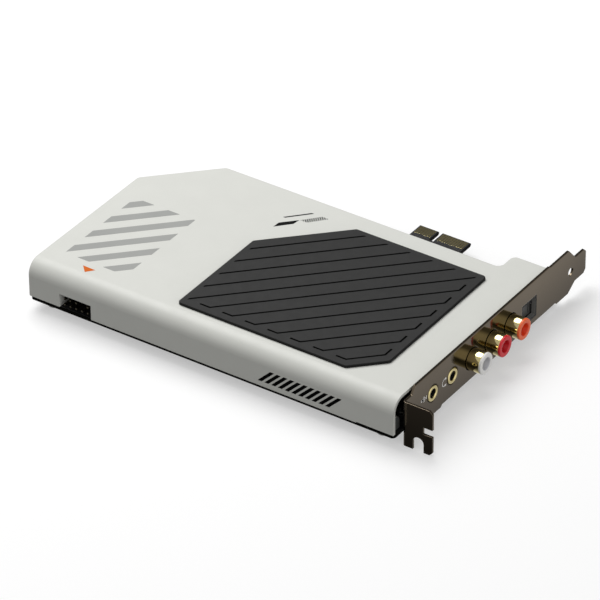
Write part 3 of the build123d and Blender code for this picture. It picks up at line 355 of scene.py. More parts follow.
def new_finish(name, colour, roughness, metallic=0.0):
    """Plain finish with its even values on the shader itself."""
    material = bpy.data.materials.new(name)
    material.use_nodes = True
    shader = shader_of(material)
    shader.inputs["Base Color"].default_value = (*colour, 1.0)
    shader.inputs["Roughness"].default_value = roughness
    shader.inputs["Metallic"].default_value = metallic
    material.diffuse_color = (*colour, 1.0)
    return material


def add_node(owner, kind, **values):
    """New node of a material or world with some of its properties set."""
    node = owner.node_tree.nodes.new(kind)
    for key, value in values.items():
        setattr(node, key, value)
    return node


def link(owner, out_socket, in_socket):
    """Join two sockets."""
    owner.node_tree.links.new(out_socket, in_socket)


def set_from(material, name, out_socket):
    """Take a value of the main shader from a node."""
    link(material, out_socket, shader_of(material).inputs[name])


def place_on(material):
    """Object coordinates of the piece."""
    return add_node(material, "ShaderNodeTexCoord").outputs["Object"]


def parts_of(owner, vector):
    """X, Y and Z of a vector."""
    split = add_node(owner, "ShaderNodeSeparateXYZ")
    link(owner, vector, split.inputs["Vector"])
    return split.outputs


def facing_of(material):
    """X, Y and Z of the surface's own direction."""
    return parts_of(material, add_node(material, "ShaderNodeNewGeometry").outputs["Normal"])


def work_out(owner, operation, *values, clamp=False):
    """Result of a calculation with sockets and numbers."""
    node = add_node(owner, "ShaderNodeMath", operation=operation, use_clamp=clamp)
    for socket, value in zip(node.inputs, values):
        if isinstance(value, float):
            socket.default_value = value
        else:
            link(owner, value, socket)
    return node.outputs["Value"]


def spread_over(owner, value, start, end, low=0.0, high=1.0, kind="LINEAR"):
    """Value moved from one range to another and kept inside it."""
    spread = add_node(owner, "ShaderNodeMapRange", interpolation_type=kind)
    for name, number in zip(("From Min", "From Max", "To Min", "To Max"), (start, end, low, high)):
        spread.inputs[name].default_value = number
    link(owner, value, spread.inputs["Value"])
    return spread.outputs["Result"]


def level_on(material, low, high, axis):
    """Zero to one between two levels of the piece along an axis, in millimetres."""
    return spread_over(material, parts_of(material, place_on(material))[axis], low * MM, high * MM)


def noise_on(material, grain):
    """Cloudy pattern with a grain in millimetres."""
    noise = add_node(material, "ShaderNodeTexNoise")
    noise.inputs["Scale"].default_value = 1.0 / (grain * MM)
    noise.inputs["Detail"].default_value = PATTERN_DETAIL
    link(material, place_on(material), noise.inputs["Vector"])
    return noise.outputs["Fac"]


def ramp_between(material, factor, stops):
    """Colours at given places of a pattern."""
    ramp = add_node(material, "ShaderNodeValToRGB")
    elements = ramp.color_ramp.elements
    while len(elements) < len(stops):
        elements.new(0.5)
    for element, (place, colour) in zip(elements, stops):
        element.position = place
        element.color = (*colour, 1.0)
    link(material, factor, ramp.inputs["Fac"])
    return ramp.outputs["Color"]


def shade_of(colour, amount):
    """Colour made darker or lighter by a factor."""
    return tuple(min(1.0, part * amount) for part in colour)


def mottle_by(material, colour, grain, amount):
    """Slightly uneven base colour."""
    shades = [shade_of(colour, 1 - amount), shade_of(colour, 1 + amount)]
    tint = ramp_between(material, noise_on(material, grain), list(zip(PATTERN_SPAN, shades)))
    set_from(material, "Base Color", tint)


def rough_by(material, grain, low, high):
    """Slightly uneven roughness."""
    rough = spread_over(material, noise_on(material, grain), *PATTERN_SPAN, low, high)
    set_from(material, "Roughness", rough)


def raise_by(material, grain, depth, edge):
    """Bump from a pattern over edges that look slightly rounded; depth and radius in millimetres."""
    soft = add_node(material, "ShaderNodeBevel", samples=EDGE_SAMPLES)
    soft.inputs["Radius"].default_value = edge * MM
    bump = add_node(material, "ShaderNodeBump")
    bump.inputs["Distance"].default_value = depth * MM
    link(material, noise_on(material, grain), bump.inputs["Height"])
    link(material, soft.outputs["Normal"], bump.inputs["Normal"])
    set_from(material, "Normal", bump.outputs["Normal"])


def moulded(name, colour, roughness, grain=0.35, depth=0.01, mottle=0.06, gloss=0.5, edge=0.12):
    """Moulded plastic with a fine spark-eroded grain and slight cloudiness."""
    material = new_finish(name, colour, roughness)
    shader_of(material).inputs["Specular IOR Level"].default_value = gloss
    mottle_by(material, colour, PLASTIC_CLOUD, mottle)
    rough_by(material, PLASTIC_PATCH, *(roughness + change for change in PLASTIC_ROUGH))
    raise_by(material, grain, depth, edge)
    return material


def plated(name, colour, roughness, grain=0.8, depth=0.002, mottle=0.08, edge=0.12):
    """Plated metal with faint uneven gloss."""
    material = new_finish(name, colour, roughness, metallic=1.0)
    mottle_by(material, colour, METAL_CLOUD, mottle)
    rough_by(material, METAL_PATCH, *(roughness * share for share in METAL_ROUGH))
    raise_by(material, grain, depth, edge)
    return material


def printed(name, colour, roughness, depth=0.003, gloss=0.5, mottle=0.06):
    """Ink or lacquer, smoother than moulded plastic."""
    return moulded(name, colour, roughness, depth=depth, gloss=gloss, mottle=mottle)


def cover_finish():
    """Grey cover, with painted shade on the face of its end rib, in the gap before the bracket."""
    material = moulded("cover_grey_finish", COVER_GREY, 0.46, grain=0.25, depth=0.006, mottle=0.012)
    rib_face = COVER_END - RIB_SETBACK
    place = parts_of(material, place_on(material))
    on_rib = work_out(material, "COMPARE", place["X"], rib_face * MM, RIB_REACH * MM)
    rib_shade_mask = work_out(material, "MULTIPLY", on_rib, facing_of(material)["X"], clamp=True)
    mixed = add_node(material, "ShaderNodeMix", data_type="RGBA")
    link(material, rib_shade_mask, mixed.inputs["Factor"])
    link(material, shader_of(material).inputs["Base Color"].links[0].from_socket, mixed.inputs["A"])
    mixed.inputs["B"].default_value = (*RIB_PAINTED_SHADE, 1.0)
    set_from(material, "Base Color", mixed.outputs["Result"])
    return material


def paint_groove_shade(material, colour, face, depth, axis, stops):
    """Painted shade: black at the bottom of grooves in a face across an axis."""
    level = level_on(material, face - depth, face, axis)
    tint = ramp_between(material, level, list(zip(stops, (GROOVE_PAINTED_SHADE, colour))))
    set_from(material, "Base Color", tint)


def accent_finish():
    """Dark panel with painted shade: black at the bottom of its grooves and down its sides."""
    material = moulded("accent_dark_finish", PANEL_DARK, 0.55, grain=0.3, depth=0.008, gloss=0.2, edge=0.18)
    top = box_of("accent_panel")[1].z
    paint_groove_shade(material, PANEL_DARK, top, PANEL_GROOVE, "Z", PANEL_STOPS)
    return material


def door_finish():
    """Door of the optical socket, with painted shade: black at the bottom of its grooves."""
    material = moulded("optical_door_finish", DOOR_GREY, 0.35, depth=0.004)
    front = box_of("optical_shutter")[1].x
    paint_groove_shade(material, DOOR_GREY, front, DOOR_GROOVE, "X", DOOR_STOPS)
    return material


def bracket_finish():
    """Black nickel plating with a painted reflection: a little paler towards the cover's side and beside the
    optical socket.
    """
    material = plated("black_nickel_painted_sheen_finish", BRACKET_PLATING, 0.09, edge=0.3)
    # Painted reflection: the plating is lighter higher up and at some places along Y
    shades = [(place, shade_of(BRACKET_PLATING, share)) for place, share in BRACKET_RISE_PAINTED_SHEEN]
    upright = ramp_between(material, level_on(material, *BRACKET_RISE, "Z"), shades)
    shares = [(place, (share, share, share)) for place, share in BRACKET_SPAN_PAINTED_SHEEN]
    along = ramp_between(material, level_on(material, *BRACKET_SPAN, "Y"), shares)
    tint = add_node(material, "ShaderNodeVectorMath", operation="MULTIPLY")
    link(material, upright, tint.inputs[0])
    link(material, along, tint.inputs[1])
    set_from(material, "Base Color", tint.outputs["Vector"])
    return material


def insulator_finish(colour, deep, pale):
    """Moulded insulator, paler along its rim as a painted highlight and deeper in its mouth as painted
    shade.
    """
    material = moulded("insulator_" + colour + "_finish", deep, 0.28, depth=0.003, gloss=0.35)
    low, high = box_of("phono_" + colour + "_insulator")
    middle = (low + high) / 2 * MM
    centred = add_node(material, "ShaderNodeMapping")
    centred.inputs["Scale"].default_value = (0.0, 1.0, 1.0)
    centred.inputs["Location"].default_value = (0.0, -middle.y, -middle.z)
    link(material, place_on(material), centred.inputs["Vector"])
    radius = add_node(material, "ShaderNodeVectorMath", operation="LENGTH")
    link(material, centred.outputs["Vector"], radius.inputs[0])
    rim = (high.y - low.y) / 2
    outwards = spread_over(material, radius.outputs["Value"], INSULATOR_BORE * MM, rim * MM)
    tint = ramp_between(material, outwards, list(zip(INSULATOR_SHADE_TO_HIGHLIGHT, (deep, pale))))
    set_from(material, "Base Color", tint)
    return material


def board_finish():
    """Black solder mask on the flat sides and bare dark fibre along the cut edges."""
    material = moulded("solder_mask_finish", MASK_BLACK, 0.4, grain=0.6, depth=0.004, gloss=MASK_GLOSS)
    flat = work_out(material, "ABSOLUTE", facing_of(material)["Z"])
    tint = ramp_between(material, flat, list(zip(FIBRE_SPAN, (FIBRE_BLACK, MASK_BLACK))))
    set_from(material, "Base Color", tint)
    gloss = spread_over(material, flat, *FIBRE_SPAN, FIBRE_GLOSS, MASK_GLOSS)
    set_from(material, "Specular IOR Level", gloss)
    return material


FINISHES = {
    "solder_mask": board_finish(),
    "gilt": plated("gilt_finish", (0.80, 0.68, 0.34), 0.085),
    "black_nickel": bracket_finish(),
    "zinc_steel": plated("zinc_steel_finish", (0.46, 0.46, 0.44), 0.32),
    "cover_grey": cover_finish(),
    "accent_dark": accent_finish(),
    "connector_black": moulded("connector_black_finish", (0.016, 0.016, 0.017), 0.45, gloss=0.22),
    # Insulators: the colour in the mouth, which carries painted shade there, then the rim's colour,
    # lightened as a painted highlight
    "insulator_white": insulator_finish("white", (0.62, 0.62, 0.64), (0.90, 0.89, 0.86)),
    "insulator_red": insulator_finish("red", (0.62, 0.008, 0.015), (0.74, 0.022, 0.035)),
    "insulator_orange": insulator_finish("orange", (0.88, 0.055, 0.008), (0.95, 0.16, 0.05)),
    "shutter_grey": door_finish(),
    "chip_epoxy": moulded("chip_epoxy_finish", (0.022, 0.022, 0.023), 0.55, grain=0.2, depth=0.012),
    "can_aluminium": plated("can_aluminium_finish", (0.74, 0.74, 0.75), 0.28),
    "film_block": moulded("film_block_finish", (0.45, 0.06, 0.035), 0.3, grain=1.2, depth=0.02),
    "relay_case": moulded("relay_case_finish", (0.74, 0.73, 0.69), 0.36),
    "ferrite": moulded("ferrite_finish", (0.06, 0.06, 0.065), 0.62, grain=0.2, depth=0.02),
    "crystal_steel": plated("crystal_steel_finish", (0.62, 0.62, 0.60), 0.3),
    "ceramic": moulded("ceramic_finish", (0.46, 0.34, 0.21), 0.5, grain=0.2),
    "resistor_black": moulded("resistor_black_finish", (0.018, 0.018, 0.018), 0.34),
    "tantalum": moulded("tantalum_finish", (0.58, 0.35, 0.05), 0.42),
    "solder": plated("solder_finish", (0.66, 0.66, 0.64), 0.26, grain=0.5, depth=0.01),
}


def dress_nodes():
    """Give every node of the model the finish of its slot; the header's pins get a darker gilt, a painted
    shade.
    """
    shaded_finishes = {"header_pins": plated("header_pin_shaded_finish", PIN_SHADED_GILT, 0.3)}
    for part in frame["record"]["subparts"]:
        node = nodes[part["node"]]
        finish = shaded_finishes.get(part["node"], FINISHES[part["material_slot"]])
        node.data.materials.clear()
        node.data.materials.append(finish)


# Pieces

def link_object(name, data):
    """New object in the scene."""
    made = bpy.data.objects.new(name, data)
    bpy.context.scene.collection.objects.link(made)
    return made


def mesh_from(bm, name):
    """Mesh from a finished bmesh."""
    mesh = bpy.data.meshes.new(name)
    bm.to_mesh(mesh)
    bm.free()
    return mesh


def keep_piece(bm, name, finish, smooth=False):
    """Turn a bmesh into a piece that rides on the card."""
    bmesh.ops.recalc_face_normals(bm, faces=bm.faces)
    mesh = mesh_from(bm, name)
    if smooth:
        mesh.shade_smooth()
        mesh.set_sharp_from_angle(angle=math.radians(SHARP_ANGLE))
    mesh.materials.append(finish)
    piece = link_object(name, mesh)
    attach(piece, CARD)
    return piece


def join_closed(bm):
    """Merge the seams of a shape."""
    bmesh.ops.remove_doubles(bm, verts=bm.verts, dist=MERGE_GAP * MM)


def add_face(bm, points):
    """Flat face from its corners in millimetres."""
    return bm.faces.new([bm.verts.new(Vector(point) * MM) for point in points])


def thicken(bm, faces, direction):
    """Extrude flat faces into a closed layer; the direction is in millimetres."""
    raised = bmesh.ops.extrude_face_region(bm, geom=faces)["geom"]
    moved = [item for item in raised if isinstance(item, bmesh.types.BMVert)]
    bmesh.ops.translate(bm, verts=moved, vec=Vector(direction) * MM)


def cut_to(bm, place, normal):
    """Keep what lies behind an upright plane through a place on the X axis."""
    everything = bm.verts[:] + bm.edges[:] + bm.faces[:]
    point = ALONG_X * place * MM
    bmesh.ops.bisect_plane(bm, geom=everything, plane_co=point, plane_no=normal, clear_outer=True)


def add_to(target, bm):
    """Move a finished bmesh into another."""
    part = mesh_from(bm, "part")
    target.from_mesh(part)
    bpy.data.meshes.remove(part)


# Prints on the cover

def add_field(bm, corners):
    """Flat face just below the cover's top from its corners along X and Y."""
    return add_face(bm, [(x, y, COVER_TOP - INK) for x, y in corners])


def add_stripe(target, corners, across, start, width):
    """One stripe of a printed field, between two lines across a direction."""
    bm = bmesh.new()
    add_field(bm, corners)
    cut_to(bm, start, -across)
    cut_to(bm, start + width, across)
    thicken(bm, bm.faces[:], (0.0, 0.0, 2 * INK))
    add_to(target, bm)


def make_stripes(ink):
    """Grey stripes on the tail of the cover."""
    x0, x1, y0, y1 = STRIPE_FIELD
    corners = [(x0, y0), (x1, y0), (x1, y1), (x0, y1)]
    across = Vector((1.0, -1.0, 0.0)).normalized()
    bm = bmesh.new()
    for index in range(STRIPE_COUNT):
        add_stripe(bm, corners, across, STRIPE_START + index * STRIPE_PITCH, STRIPE_WIDTH)
    keep_piece(bm, "printed_stripes", ink)


def make_hatch(ink):
    """Fine lines in a slanted field beside the bar."""
    across = Vector((1.0, 1.0, 0.0)).normalized()
    bm = bmesh.new()
    for index in range(HATCH_COUNT):
        add_stripe(bm, HATCH_CORNERS, across, HATCH_START + index * HATCH_PITCH, HATCH_WIDTH)
    keep_piece(bm, "printed_hatch", ink)


def make_mark(name, corners, ink):
    """Small printed mark on the cover."""
    bm = bmesh.new()
    thicken(bm, [add_field(bm, corners)], (0.0, 0.0, 2 * INK))
    keep_piece(bm, name, ink)


def print_cover():
    """Everything printed on the cover's top."""
    make_stripes(printed("stripe_ink", STRIPE_GREY, 0.6, gloss=0.2, mottle=0.02))
    orange = printed("arrow_ink", ARROW_ORANGE, 0.6, gloss=0.1)
    black = printed("bar_ink", BAR_BLACK, 0.7, gloss=0.08)
    make_mark("printed_arrow", ARROW_CORNERS, orange)
    make_mark("printed_bar", BAR_CORNERS, black)
    make_mark("printed_line", LINE_CORNERS, black)
    make_hatch(black)


# Openings of the near wall

def make_vents():
    """Black linings set into the vent slots, a painted shade in them."""
    shade_lining = moulded("vent_shade_lining_finish", VENT_PAINTED_SHADE, 0.8, grain=0.15, depth=0.03, gloss=0.1)
    front = COVER_NEAR + VENT_SETBACK
    high = VENT_LOW + VENT_RUN
    bm = bmesh.new()
    for index in range(VENT_COUNT):
        left = VENT_START + index * VENT_PITCH
        right = left + VENT_WIDTH
        slot = add_face(bm, [(left, front, VENT_LOW), (right, front, VENT_LOW),
                             (right + VENT_RUN, front, high), (left + VENT_RUN, front, high)])
        back = bmesh.ops.extrude_discrete_faces(bm, faces=[slot])["faces"][0]
        bmesh.ops.translate(bm, verts=back.verts[:], vec=Vector((0.0, VENT_DEPTH, 0.0)) * MM)
    bmesh.ops.recalc_face_normals(bm, faces=bm.faces)
    bmesh.ops.solidify(bm, geom=bm.faces[:], thickness=VENT_LINING * MM)
    keep_piece(bm, "vent_shade_lining", shade_lining)


def make_skirt():
    """Thin skirt that hangs from the near wall in front of the board's edge."""
    tail, end = SKIRT_ALONG
    near, deep = COVER_NEAR + SKIRT_SETBACK, BOARD_NEAR - SKIRT_GAP
    low, high = BOARD_TOP - SKIRT_DROP, BOARD_TOP
    section = [(near, high), (near, low + SKIRT_CHAMFER), (near + SKIRT_CHAMFER, low),
               (deep, low), (deep, high)]
    bm = bmesh.new()
    face = add_face(bm, [(tail, y, z) for y, z in section])
    thicken(bm, [face], (end - tail, 0.0, 0.0))
    keep_piece(bm, "cover_skirt", FINISHES["cover_grey"])


# Sockets on the bracket

def spin_section(bm, points, rounded, size, centre):
    """Turn a closed section round a line along X; the listed corners are rounded first."""
    section = add_face(bm, points)
    if rounded:
        bm.verts.ensure_lookup_table()
        bmesh.ops.bevel(bm, geom=[bm.verts[corner] for corner in rounded], offset=size * MM,
                        offset_type="OFFSET", affect="VERTICES", segments=ROUND_STEPS, profile=0.5,
                        material=-1)
        section = bm.faces[:][-1]
    outline = list(section.edges)
    bmesh.ops.delete(bm, geom=[section], context="FACES_ONLY")
    geom = list({vert for edge in outline for vert in edge.verts}) + outline
    bmesh.ops.spin(bm, geom=geom, cent=centre * MM, axis=ALONG_X, angle=FULL_TURN, steps=TURN_STEPS,
                   use_merge=True)
    join_closed(bm)


def make_turned(name, node, section, slot, rounded=(), size=0.0):
    """Round piece along X in place of a node; the section gives X and radius in millimetres."""
    low, high = box_of(node)
    middle = (low + high) / 2
    points = [(x, middle.y + radius, middle.z) for x, radius in section]
    bm = bmesh.new()
    spin_section(bm, points, rounded, size, middle)
    piece = keep_piece(bm, name, FINISHES[slot], smooth=True)
    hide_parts(node)


def ends_of(node):
    """Lowest and highest X of a node and its largest radius, in millimetres."""
    low, high = box_of(node)
    return low.x, high.x, (high.y - low.y) / 2


def make_barrel(colour):
    """Gilded barrel with a rounded shoulder and front edge."""
    node = "phono_" + colour + "_barrel"
    back, front, outer = ends_of(node)
    inner = outer - BARREL_WALL
    stem = outer - BARREL_STEM
    shoulder = BRACKET_FACE + BARREL_SHOULDER
    section = [(back, inner), (back, stem), (shoulder, stem), (shoulder, outer),
               (front, outer), (front, inner)]
    make_turned(colour + "_phono_barrel", node, section, "gilt", [3, 4], BARREL_ROUND)


def make_insulator(colour):
    """Coloured insulator with a soft rim and a funnel for the plug's pin."""
    node = "phono_" + colour + "_insulator"
    back, front, rim = ends_of(node)
    seat = front - INSULATOR_CAP
    throat = front - INSULATOR_FUNNEL
    core = ends_of("phono_" + colour + "_barrel")[2] - BARREL_WALL
    section = [(back, INSULATOR_SLEEVE), (back, core), (seat, core), (seat, rim), (front, rim),
               (front, INSULATOR_MOUTH), (throat, INSULATOR_BORE), (throat, INSULATOR_SLEEVE)]
    make_turned(colour + "_phono_insulator", node, section, "insulator_" + colour, [4, 5], INSULATOR_ROUND)


def make_jack(use):
    """Jack: a gilded lip, a black liner behind it and the pressed rim of its hole in the bracket."""
    node = use + "_jack_bush"
    back, front, _ = ends_of(node)
    lip = front - BUSH_LIP
    section = [(lip, BUSH_BORE), (lip, BUSH_RADIUS), (front, BUSH_RADIUS), (front, BUSH_BORE)]
    make_turned(use + "_jack_lip", node, section, "gilt", [2, 3], BUSH_ROUND)
    seat = front - LINER_SETBACK
    inner, outer = BUSH_BORE - LINER_LAP, BUSH_BORE + LINER_LAP
    section = [(back, inner), (back, LINER_SLEEVE), (lip, LINER_SLEEVE), (lip, outer),
               (seat, outer), (seat, inner)]
    make_turned(use + "_jack_liner", node, section, "connector_black")
    root, crest = BRACKET_FACE - RIM_DEPTH, BRACKET_FACE + RIM_RISE
    section = [(root, RIM_INNER), (root, RIM_OUTER), (BRACKET_FACE, RIM_OUTER),
               (crest, RIM_OUTER - RIM_OUTER_SLOPE), (crest, RIM_INNER + RIM_INNER_SLOPE),
               (BRACKET_FACE, RIM_INNER)]
    make_turned(use + "_jack_rim", node, section, "black_nickel")


def make_sockets():
    """Turned pieces of all sockets."""
    for colour in PHONO_COLOURS:
        make_barrel(colour)
        make_insulator(colour)
    for use in JACK_USES:
        make_jack(use)


def make_guide():
    """Grey guide for the plug, round the inside of the optical socket's mouth."""
    back = BRACKET_FACE - GUIDE_SETBACK - GUIDE_LENGTH
    y0, y1, z0, z1 = GUIDE_MOUTH
    bm = bmesh.new()
    face = add_face(bm, [(back, y, z) for y, z in ((y0, z0), (y1, z0), (y1, z1), (y0, z1))])
    thicken(bm, [face], (GUIDE_LENGTH, 0.0, 0.0))
    bmesh.ops.recalc_face_normals(bm, faces=bm.faces)
    caps = [side for side in bm.faces if abs(side.normal.x) > FACING]
    bmesh.ops.delete(bm, geom=caps, context="FACES_ONLY")
    bmesh.ops.solidify(bm, geom=bm.faces[:], thickness=GUIDE_WALL * MM)
    grey = moulded("optical_guide_finish", GUIDE_GREY, 0.35, depth=0.004)
    keep_piece(bm, "optical_guide", grey)


# Flat marks, in a plane of their own

def flat_move(centre):
    """Move in a mark's own plane, in millimetres."""
    return Matrix.Translation(Vector((centre[0], centre[1], 0.0)) * MM)


def add_bar(bm, at, centre, size, turn=0.0):
    """Flat bar in a mark's own plane."""
    shape = flat_move(centre) @ Matrix.Rotation(turn, 4, "Z")
    scale = Matrix.Diagonal((size[0] / 2 * MM, size[1] / 2 * MM, 1.0, 1.0))
    bmesh.ops.create_grid(bm, x_segments=1, y_segments=1, size=1.0, matrix=at @ shape @ scale)


def add_disc(bm, at, centre, radius, steps):
    """Flat disc in a mark's own plane."""
    place = at @ flat_move(centre)
    bmesh.ops.create_circle(bm, cap_ends=True, segments=steps, radius=radius * MM, matrix=place)


def add_arc(bm, at, centre, inner, outer, start, sweep):
    """Part of a flat ring in a mark's own plane."""
    middle = at @ flat_move(centre)
    along = Vector((math.cos(start), math.sin(start), 0.0)) * MM
    verts = [bm.verts.new(middle @ (along * radius)) for radius in (inner, outer)]
    edge = bm.edges.new(verts)
    axis = at.to_3x3() @ UPRIGHT
    bmesh.ops.spin(bm, geom=verts + [edge], cent=middle.translation, axis=axis, angle=sweep,
                   steps=MARK_ARC_STEPS)


def plate_at(place):
    """Where a mark lies on the bracket: its own X along the card's Z, its own Y towards the flange."""
    y, z = place
    to_plate = Matrix(((0.0, 0.0, 1.0), (0.0, -1.0, 0.0), (1.0, 0.0, 0.0))).to_4x4()
    return Matrix.Translation(Vector((BRACKET_FACE - INK / 2, y, z)) * MM) @ to_plate


def make_legend(name, ink, place, bars, ends, arc):
    """White mark beside a jack from bars, round ends and an arc."""
    at = plate_at(place)
    bm = bmesh.new()
    for centre, size in bars:
        add_bar(bm, at, centre, size)
    for centre in ends:
        add_disc(bm, at, centre, MICROPHONE_END_RADIUS, MARK_DISC_STEPS)
    add_arc(bm, at, *arc)
    thicken(bm, bm.faces[:], (INK, 0.0, 0.0))
    keep_piece(bm, name, ink)


def mark_jacks():
    """A microphone and a pair of headphones, printed beside their jacks."""
    ink = printed("legend_ink", LEGEND_WHITE, 0.6, depth=0.002)
    make_legend("microphone_mark", ink, MICROPHONE_MARK, MICROPHONE_BARS, MICROPHONE_ENDS,
                MICROPHONE_CRADLE)
    make_legend("headphone_mark", ink, HEADPHONE_MARK, HEADPHONE_CUPS, [], HEADPHONE_BAND)


# Screws and solder

def bodies_of(node):
    """Boxes of the separate bodies in a node, in millimetres."""
    bm = bmesh.new()
    bm.from_mesh(nodes[node].data)
    join_closed(bm)
    seen = set()
    boxes = []
    for start in bm.verts:
        if start in seen:
            continue
        seen.add(start)
        group = [start]
        for vert in group:
            near = [edge.other_vert(vert) for edge in vert.link_edges]
            fresh = [other for other in near if other not in seen]
            seen.update(fresh)
            group += fresh
        low = [min(vert.co[axis] for vert in group) / MM for axis in range(3)]
        high = [max(vert.co[axis] for vert in group) / MM for axis in range(3)]
        boxes.append((low, high))
    bm.free()
    return boxes


def middle_of(low, high):
    """Middle of a box along X and Y."""
    return (low[0] + high[0]) / 2, (low[1] + high[1]) / 2


def spin_upright(bm, points, x, y, steps):
    """Turn an open section, given as radius and height in millimetres, about an upright line."""
    verts = [bm.verts.new(Vector((x + radius, y, height)) * MM) for radius, height in points]
    edges = [bm.edges.new(pair) for pair in zip(verts, verts[1:])]
    bmesh.ops.spin(bm, geom=verts + edges, cent=Vector((x, y, 0.0)) * MM, axis=UPRIGHT, angle=FULL_TURN,
                   steps=steps, use_merge=True)


def cut_cross(bm, x, y, face, rim):
    """Cross recess in the open middle of a screw head."""
    arm, half = SCREW_CROSS
    outline = []
    for quarter in range(4):
        turn = Matrix.Rotation(quarter * math.pi / 2, 2)
        outline += [turn @ Vector(point) for point in ((arm, -half), (arm, half), (half, half))]
    cross = add_face(bm, [(x + point.x, y + point.y, face) for point in outline])
    bmesh.ops.subdivide_edges(bm, edges=cross.edges[:], cuts=1)
    cross = next(side for side in bm.faces if all(edge.is_boundary for edge in side.edges))
    bmesh.ops.bridge_loops(bm, edges=cross.edges[:] + rim)
    sunk = bmesh.ops.extrude_discrete_faces(bm, faces=[cross])["faces"][0]
    bmesh.ops.translate(bm, verts=sunk.verts[:], vec=UPRIGHT * SCREW_CROSS_DEPTH * MM)
    middle = Matrix.Translation(Vector((x, y, 0.0)) * -MM)
    taper = Vector((SCREW_CROSS_TAPER, SCREW_CROSS_TAPER, 1.0))
    bmesh.ops.scale(bm, verts=sunk.verts[:], vec=taper, space=middle)


def add_screw(target, low, high):
    """Pan head screw from below with a cross recess and a plain shank."""
    x, y = middle_of(low, high)
    outer = (high[0] - low[0]) / 2
    face, tip = low[2], high[2]
    seat = face + SCREW_HEAD
    section = [(outer * share, face + rise) for share, rise in SCREW_CROWN]
    section += [(outer, seat - SCREW_SEAT_EDGE), (outer - SCREW_SEAT_EDGE, seat), (SCREW_SHANK, seat),
                (SCREW_SHANK, tip - SCREW_TIP), (SCREW_SHANK - SCREW_TIP, tip), (0.0, tip)]
    bm = bmesh.new()
    spin_upright(bm, section, x, y, SCREW_STEPS)
    join_closed(bm)
    rim = [edge for edge in bm.edges if edge.is_boundary]
    cut_cross(bm, x, y, face, rim)
    join_closed(bm)
    add_to(target, bm)


def make_screws(node, name):
    """All screws of a node."""
    bm = bmesh.new()
    for low, high in bodies_of(node):
        add_screw(bm, low, high)
    piece = keep_piece(bm, name, FINISHES["zinc_steel"], smooth=True)
    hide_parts(node)


def make_solder():
    """Hollow-sided cones of solder round the leads on the back of the board."""
    bm = bmesh.new()
    for low, high in bodies_of("solder_joints"):
        foot = (high[0] - low[0]) / 2
        tall = high[2] - low[2]
        section = [(foot * share, high[2] - tall * drop) for share, drop in SOLDER_CONE]
        spin_upright(bm, section, *middle_of(low, high), SOLDER_STEPS)
    join_closed(bm)
    piece = keep_piece(bm, "solder_fillets", FINISHES["solder"], smooth=True)
    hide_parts("solder_joints")


# Small parts on the board

def add_block(bm, low, high, edge):
    """Block between two corners in millimetres, with bevelled edges."""
    size = [(far - near) * MM for near, far in zip(low, high)]
    middle = [(near + far) / 2 * MM for near, far in zip(low, high)]
    place = Matrix.Translation(middle) @ Matrix.Diagonal((*size, 1.0))
    made = bmesh.ops.create_cube(bm, size=1.0, matrix=place)
    edges = list({side for vert in made["verts"] for side in vert.link_edges})
    bmesh.ops.bevel(bm, geom=edges, offset=edge * MM, offset_type="OFFSET", affect="EDGES", segments=1,
                    profile=0.5, material=-1)


def ends_along(low, high, share):
    """The two end pieces of a box along its longer level side."""
    axis = 0 if high[0] - low[0] > high[1] - low[1] else 1
    reach = (high[axis] - low[axis]) * share
    first_high = list(high)
    first_high[axis] = low[axis] + reach
    last_low = list(low)
    last_low[axis] = high[axis] - reach
    return [(list(low), first_high), (last_low, list(high))]


def grown(low, high, by):
    """Box made larger on every side but its foot."""
    return [low[0] - by, low[1] - by, low[2]], [high[0] + by, high[1] + by, high[2] + by]


def make_end_caps():
    """Tinned ends of the small capacitors and resistors."""
    bm = bmesh.new()
    for node in ("chip_capacitors", "chip_resistors"):
        for low, high in bodies_of(node):
            for end_low, end_high in ends_along(low, high, CHIP_END):
                add_block(bm, *grown(end_low, end_high, CHIP_END_WALL), CHIP_END_EDGE)
    keep_piece(bm, "chip_end_caps", FINISHES["solder"])


def make_supply_capacitors():
    """Moulded blocks with tinned straps at their ends and a dark bar at one of them."""
    blocks, straps, bars = bmesh.new(), bmesh.new(), bmesh.new()
    for low, high in bodies_of("supply_capacitors"):
        left, right = low[0] + SUPPLY_STRAP, high[0] - SUPPLY_STRAP
        add_block(blocks, (left, low[1], low[2] + SUPPLY_FOOT), (right, high[1], high[2]), SUPPLY_EDGE)
        side = (high[1] - low[1]) * SUPPLY_STRAP_MARGIN
        strap_low = [low[0], low[1] + side, low[2]]
        strap_high = [high[0], high[1] - side, (low[2] + high[2]) / 2]
        for end_low, end_high in ends_along(strap_low, strap_high, SUPPLY_STRAP_SHARE):
            add_block(straps, end_low, end_high, SUPPLY_STRAP_EDGE)
        bar_low = (left + SUPPLY_EDGE, low[1] + SUPPLY_EDGE, high[2] - INK)
        bar_high = (bar_low[0] + SUPPLY_BAR, high[1] - SUPPLY_EDGE, high[2])
        add_block(bars, bar_low, bar_high, SUPPLY_BAR_EDGE)
    piece = keep_piece(blocks, "supply_blocks", FINISHES["tantalum"])
    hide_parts("supply_capacitors")
    keep_piece(straps, "supply_straps", FINISHES["solder"])
    keep_piece(bars, "supply_bars", printed("supply_bar_ink", SUPPLY_BROWN, 0.5, depth=0.002))


# Prints on the board

def board_side(top):
    """Where a flat print lies on the upper or lower face of the board."""
    height = BOARD_TOP + TRACE_RISE
    return Matrix.Translation(UPRIGHT * (height if top else -height) * MM)


def add_path(bm, at, points, width):
    """Flat track through some points, with round joints."""
    for start, end in zip(points, points[1:]):
        step = Vector(end) - Vector(start)
        middle = (Vector(end) + Vector(start)) / 2
        add_bar(bm, at, middle, (step.length, width), math.atan2(step.y, step.x))
    for point in points[1:-1]:
        add_disc(bm, at, point, width * JOINT_SHARE, JOINT_STEPS)


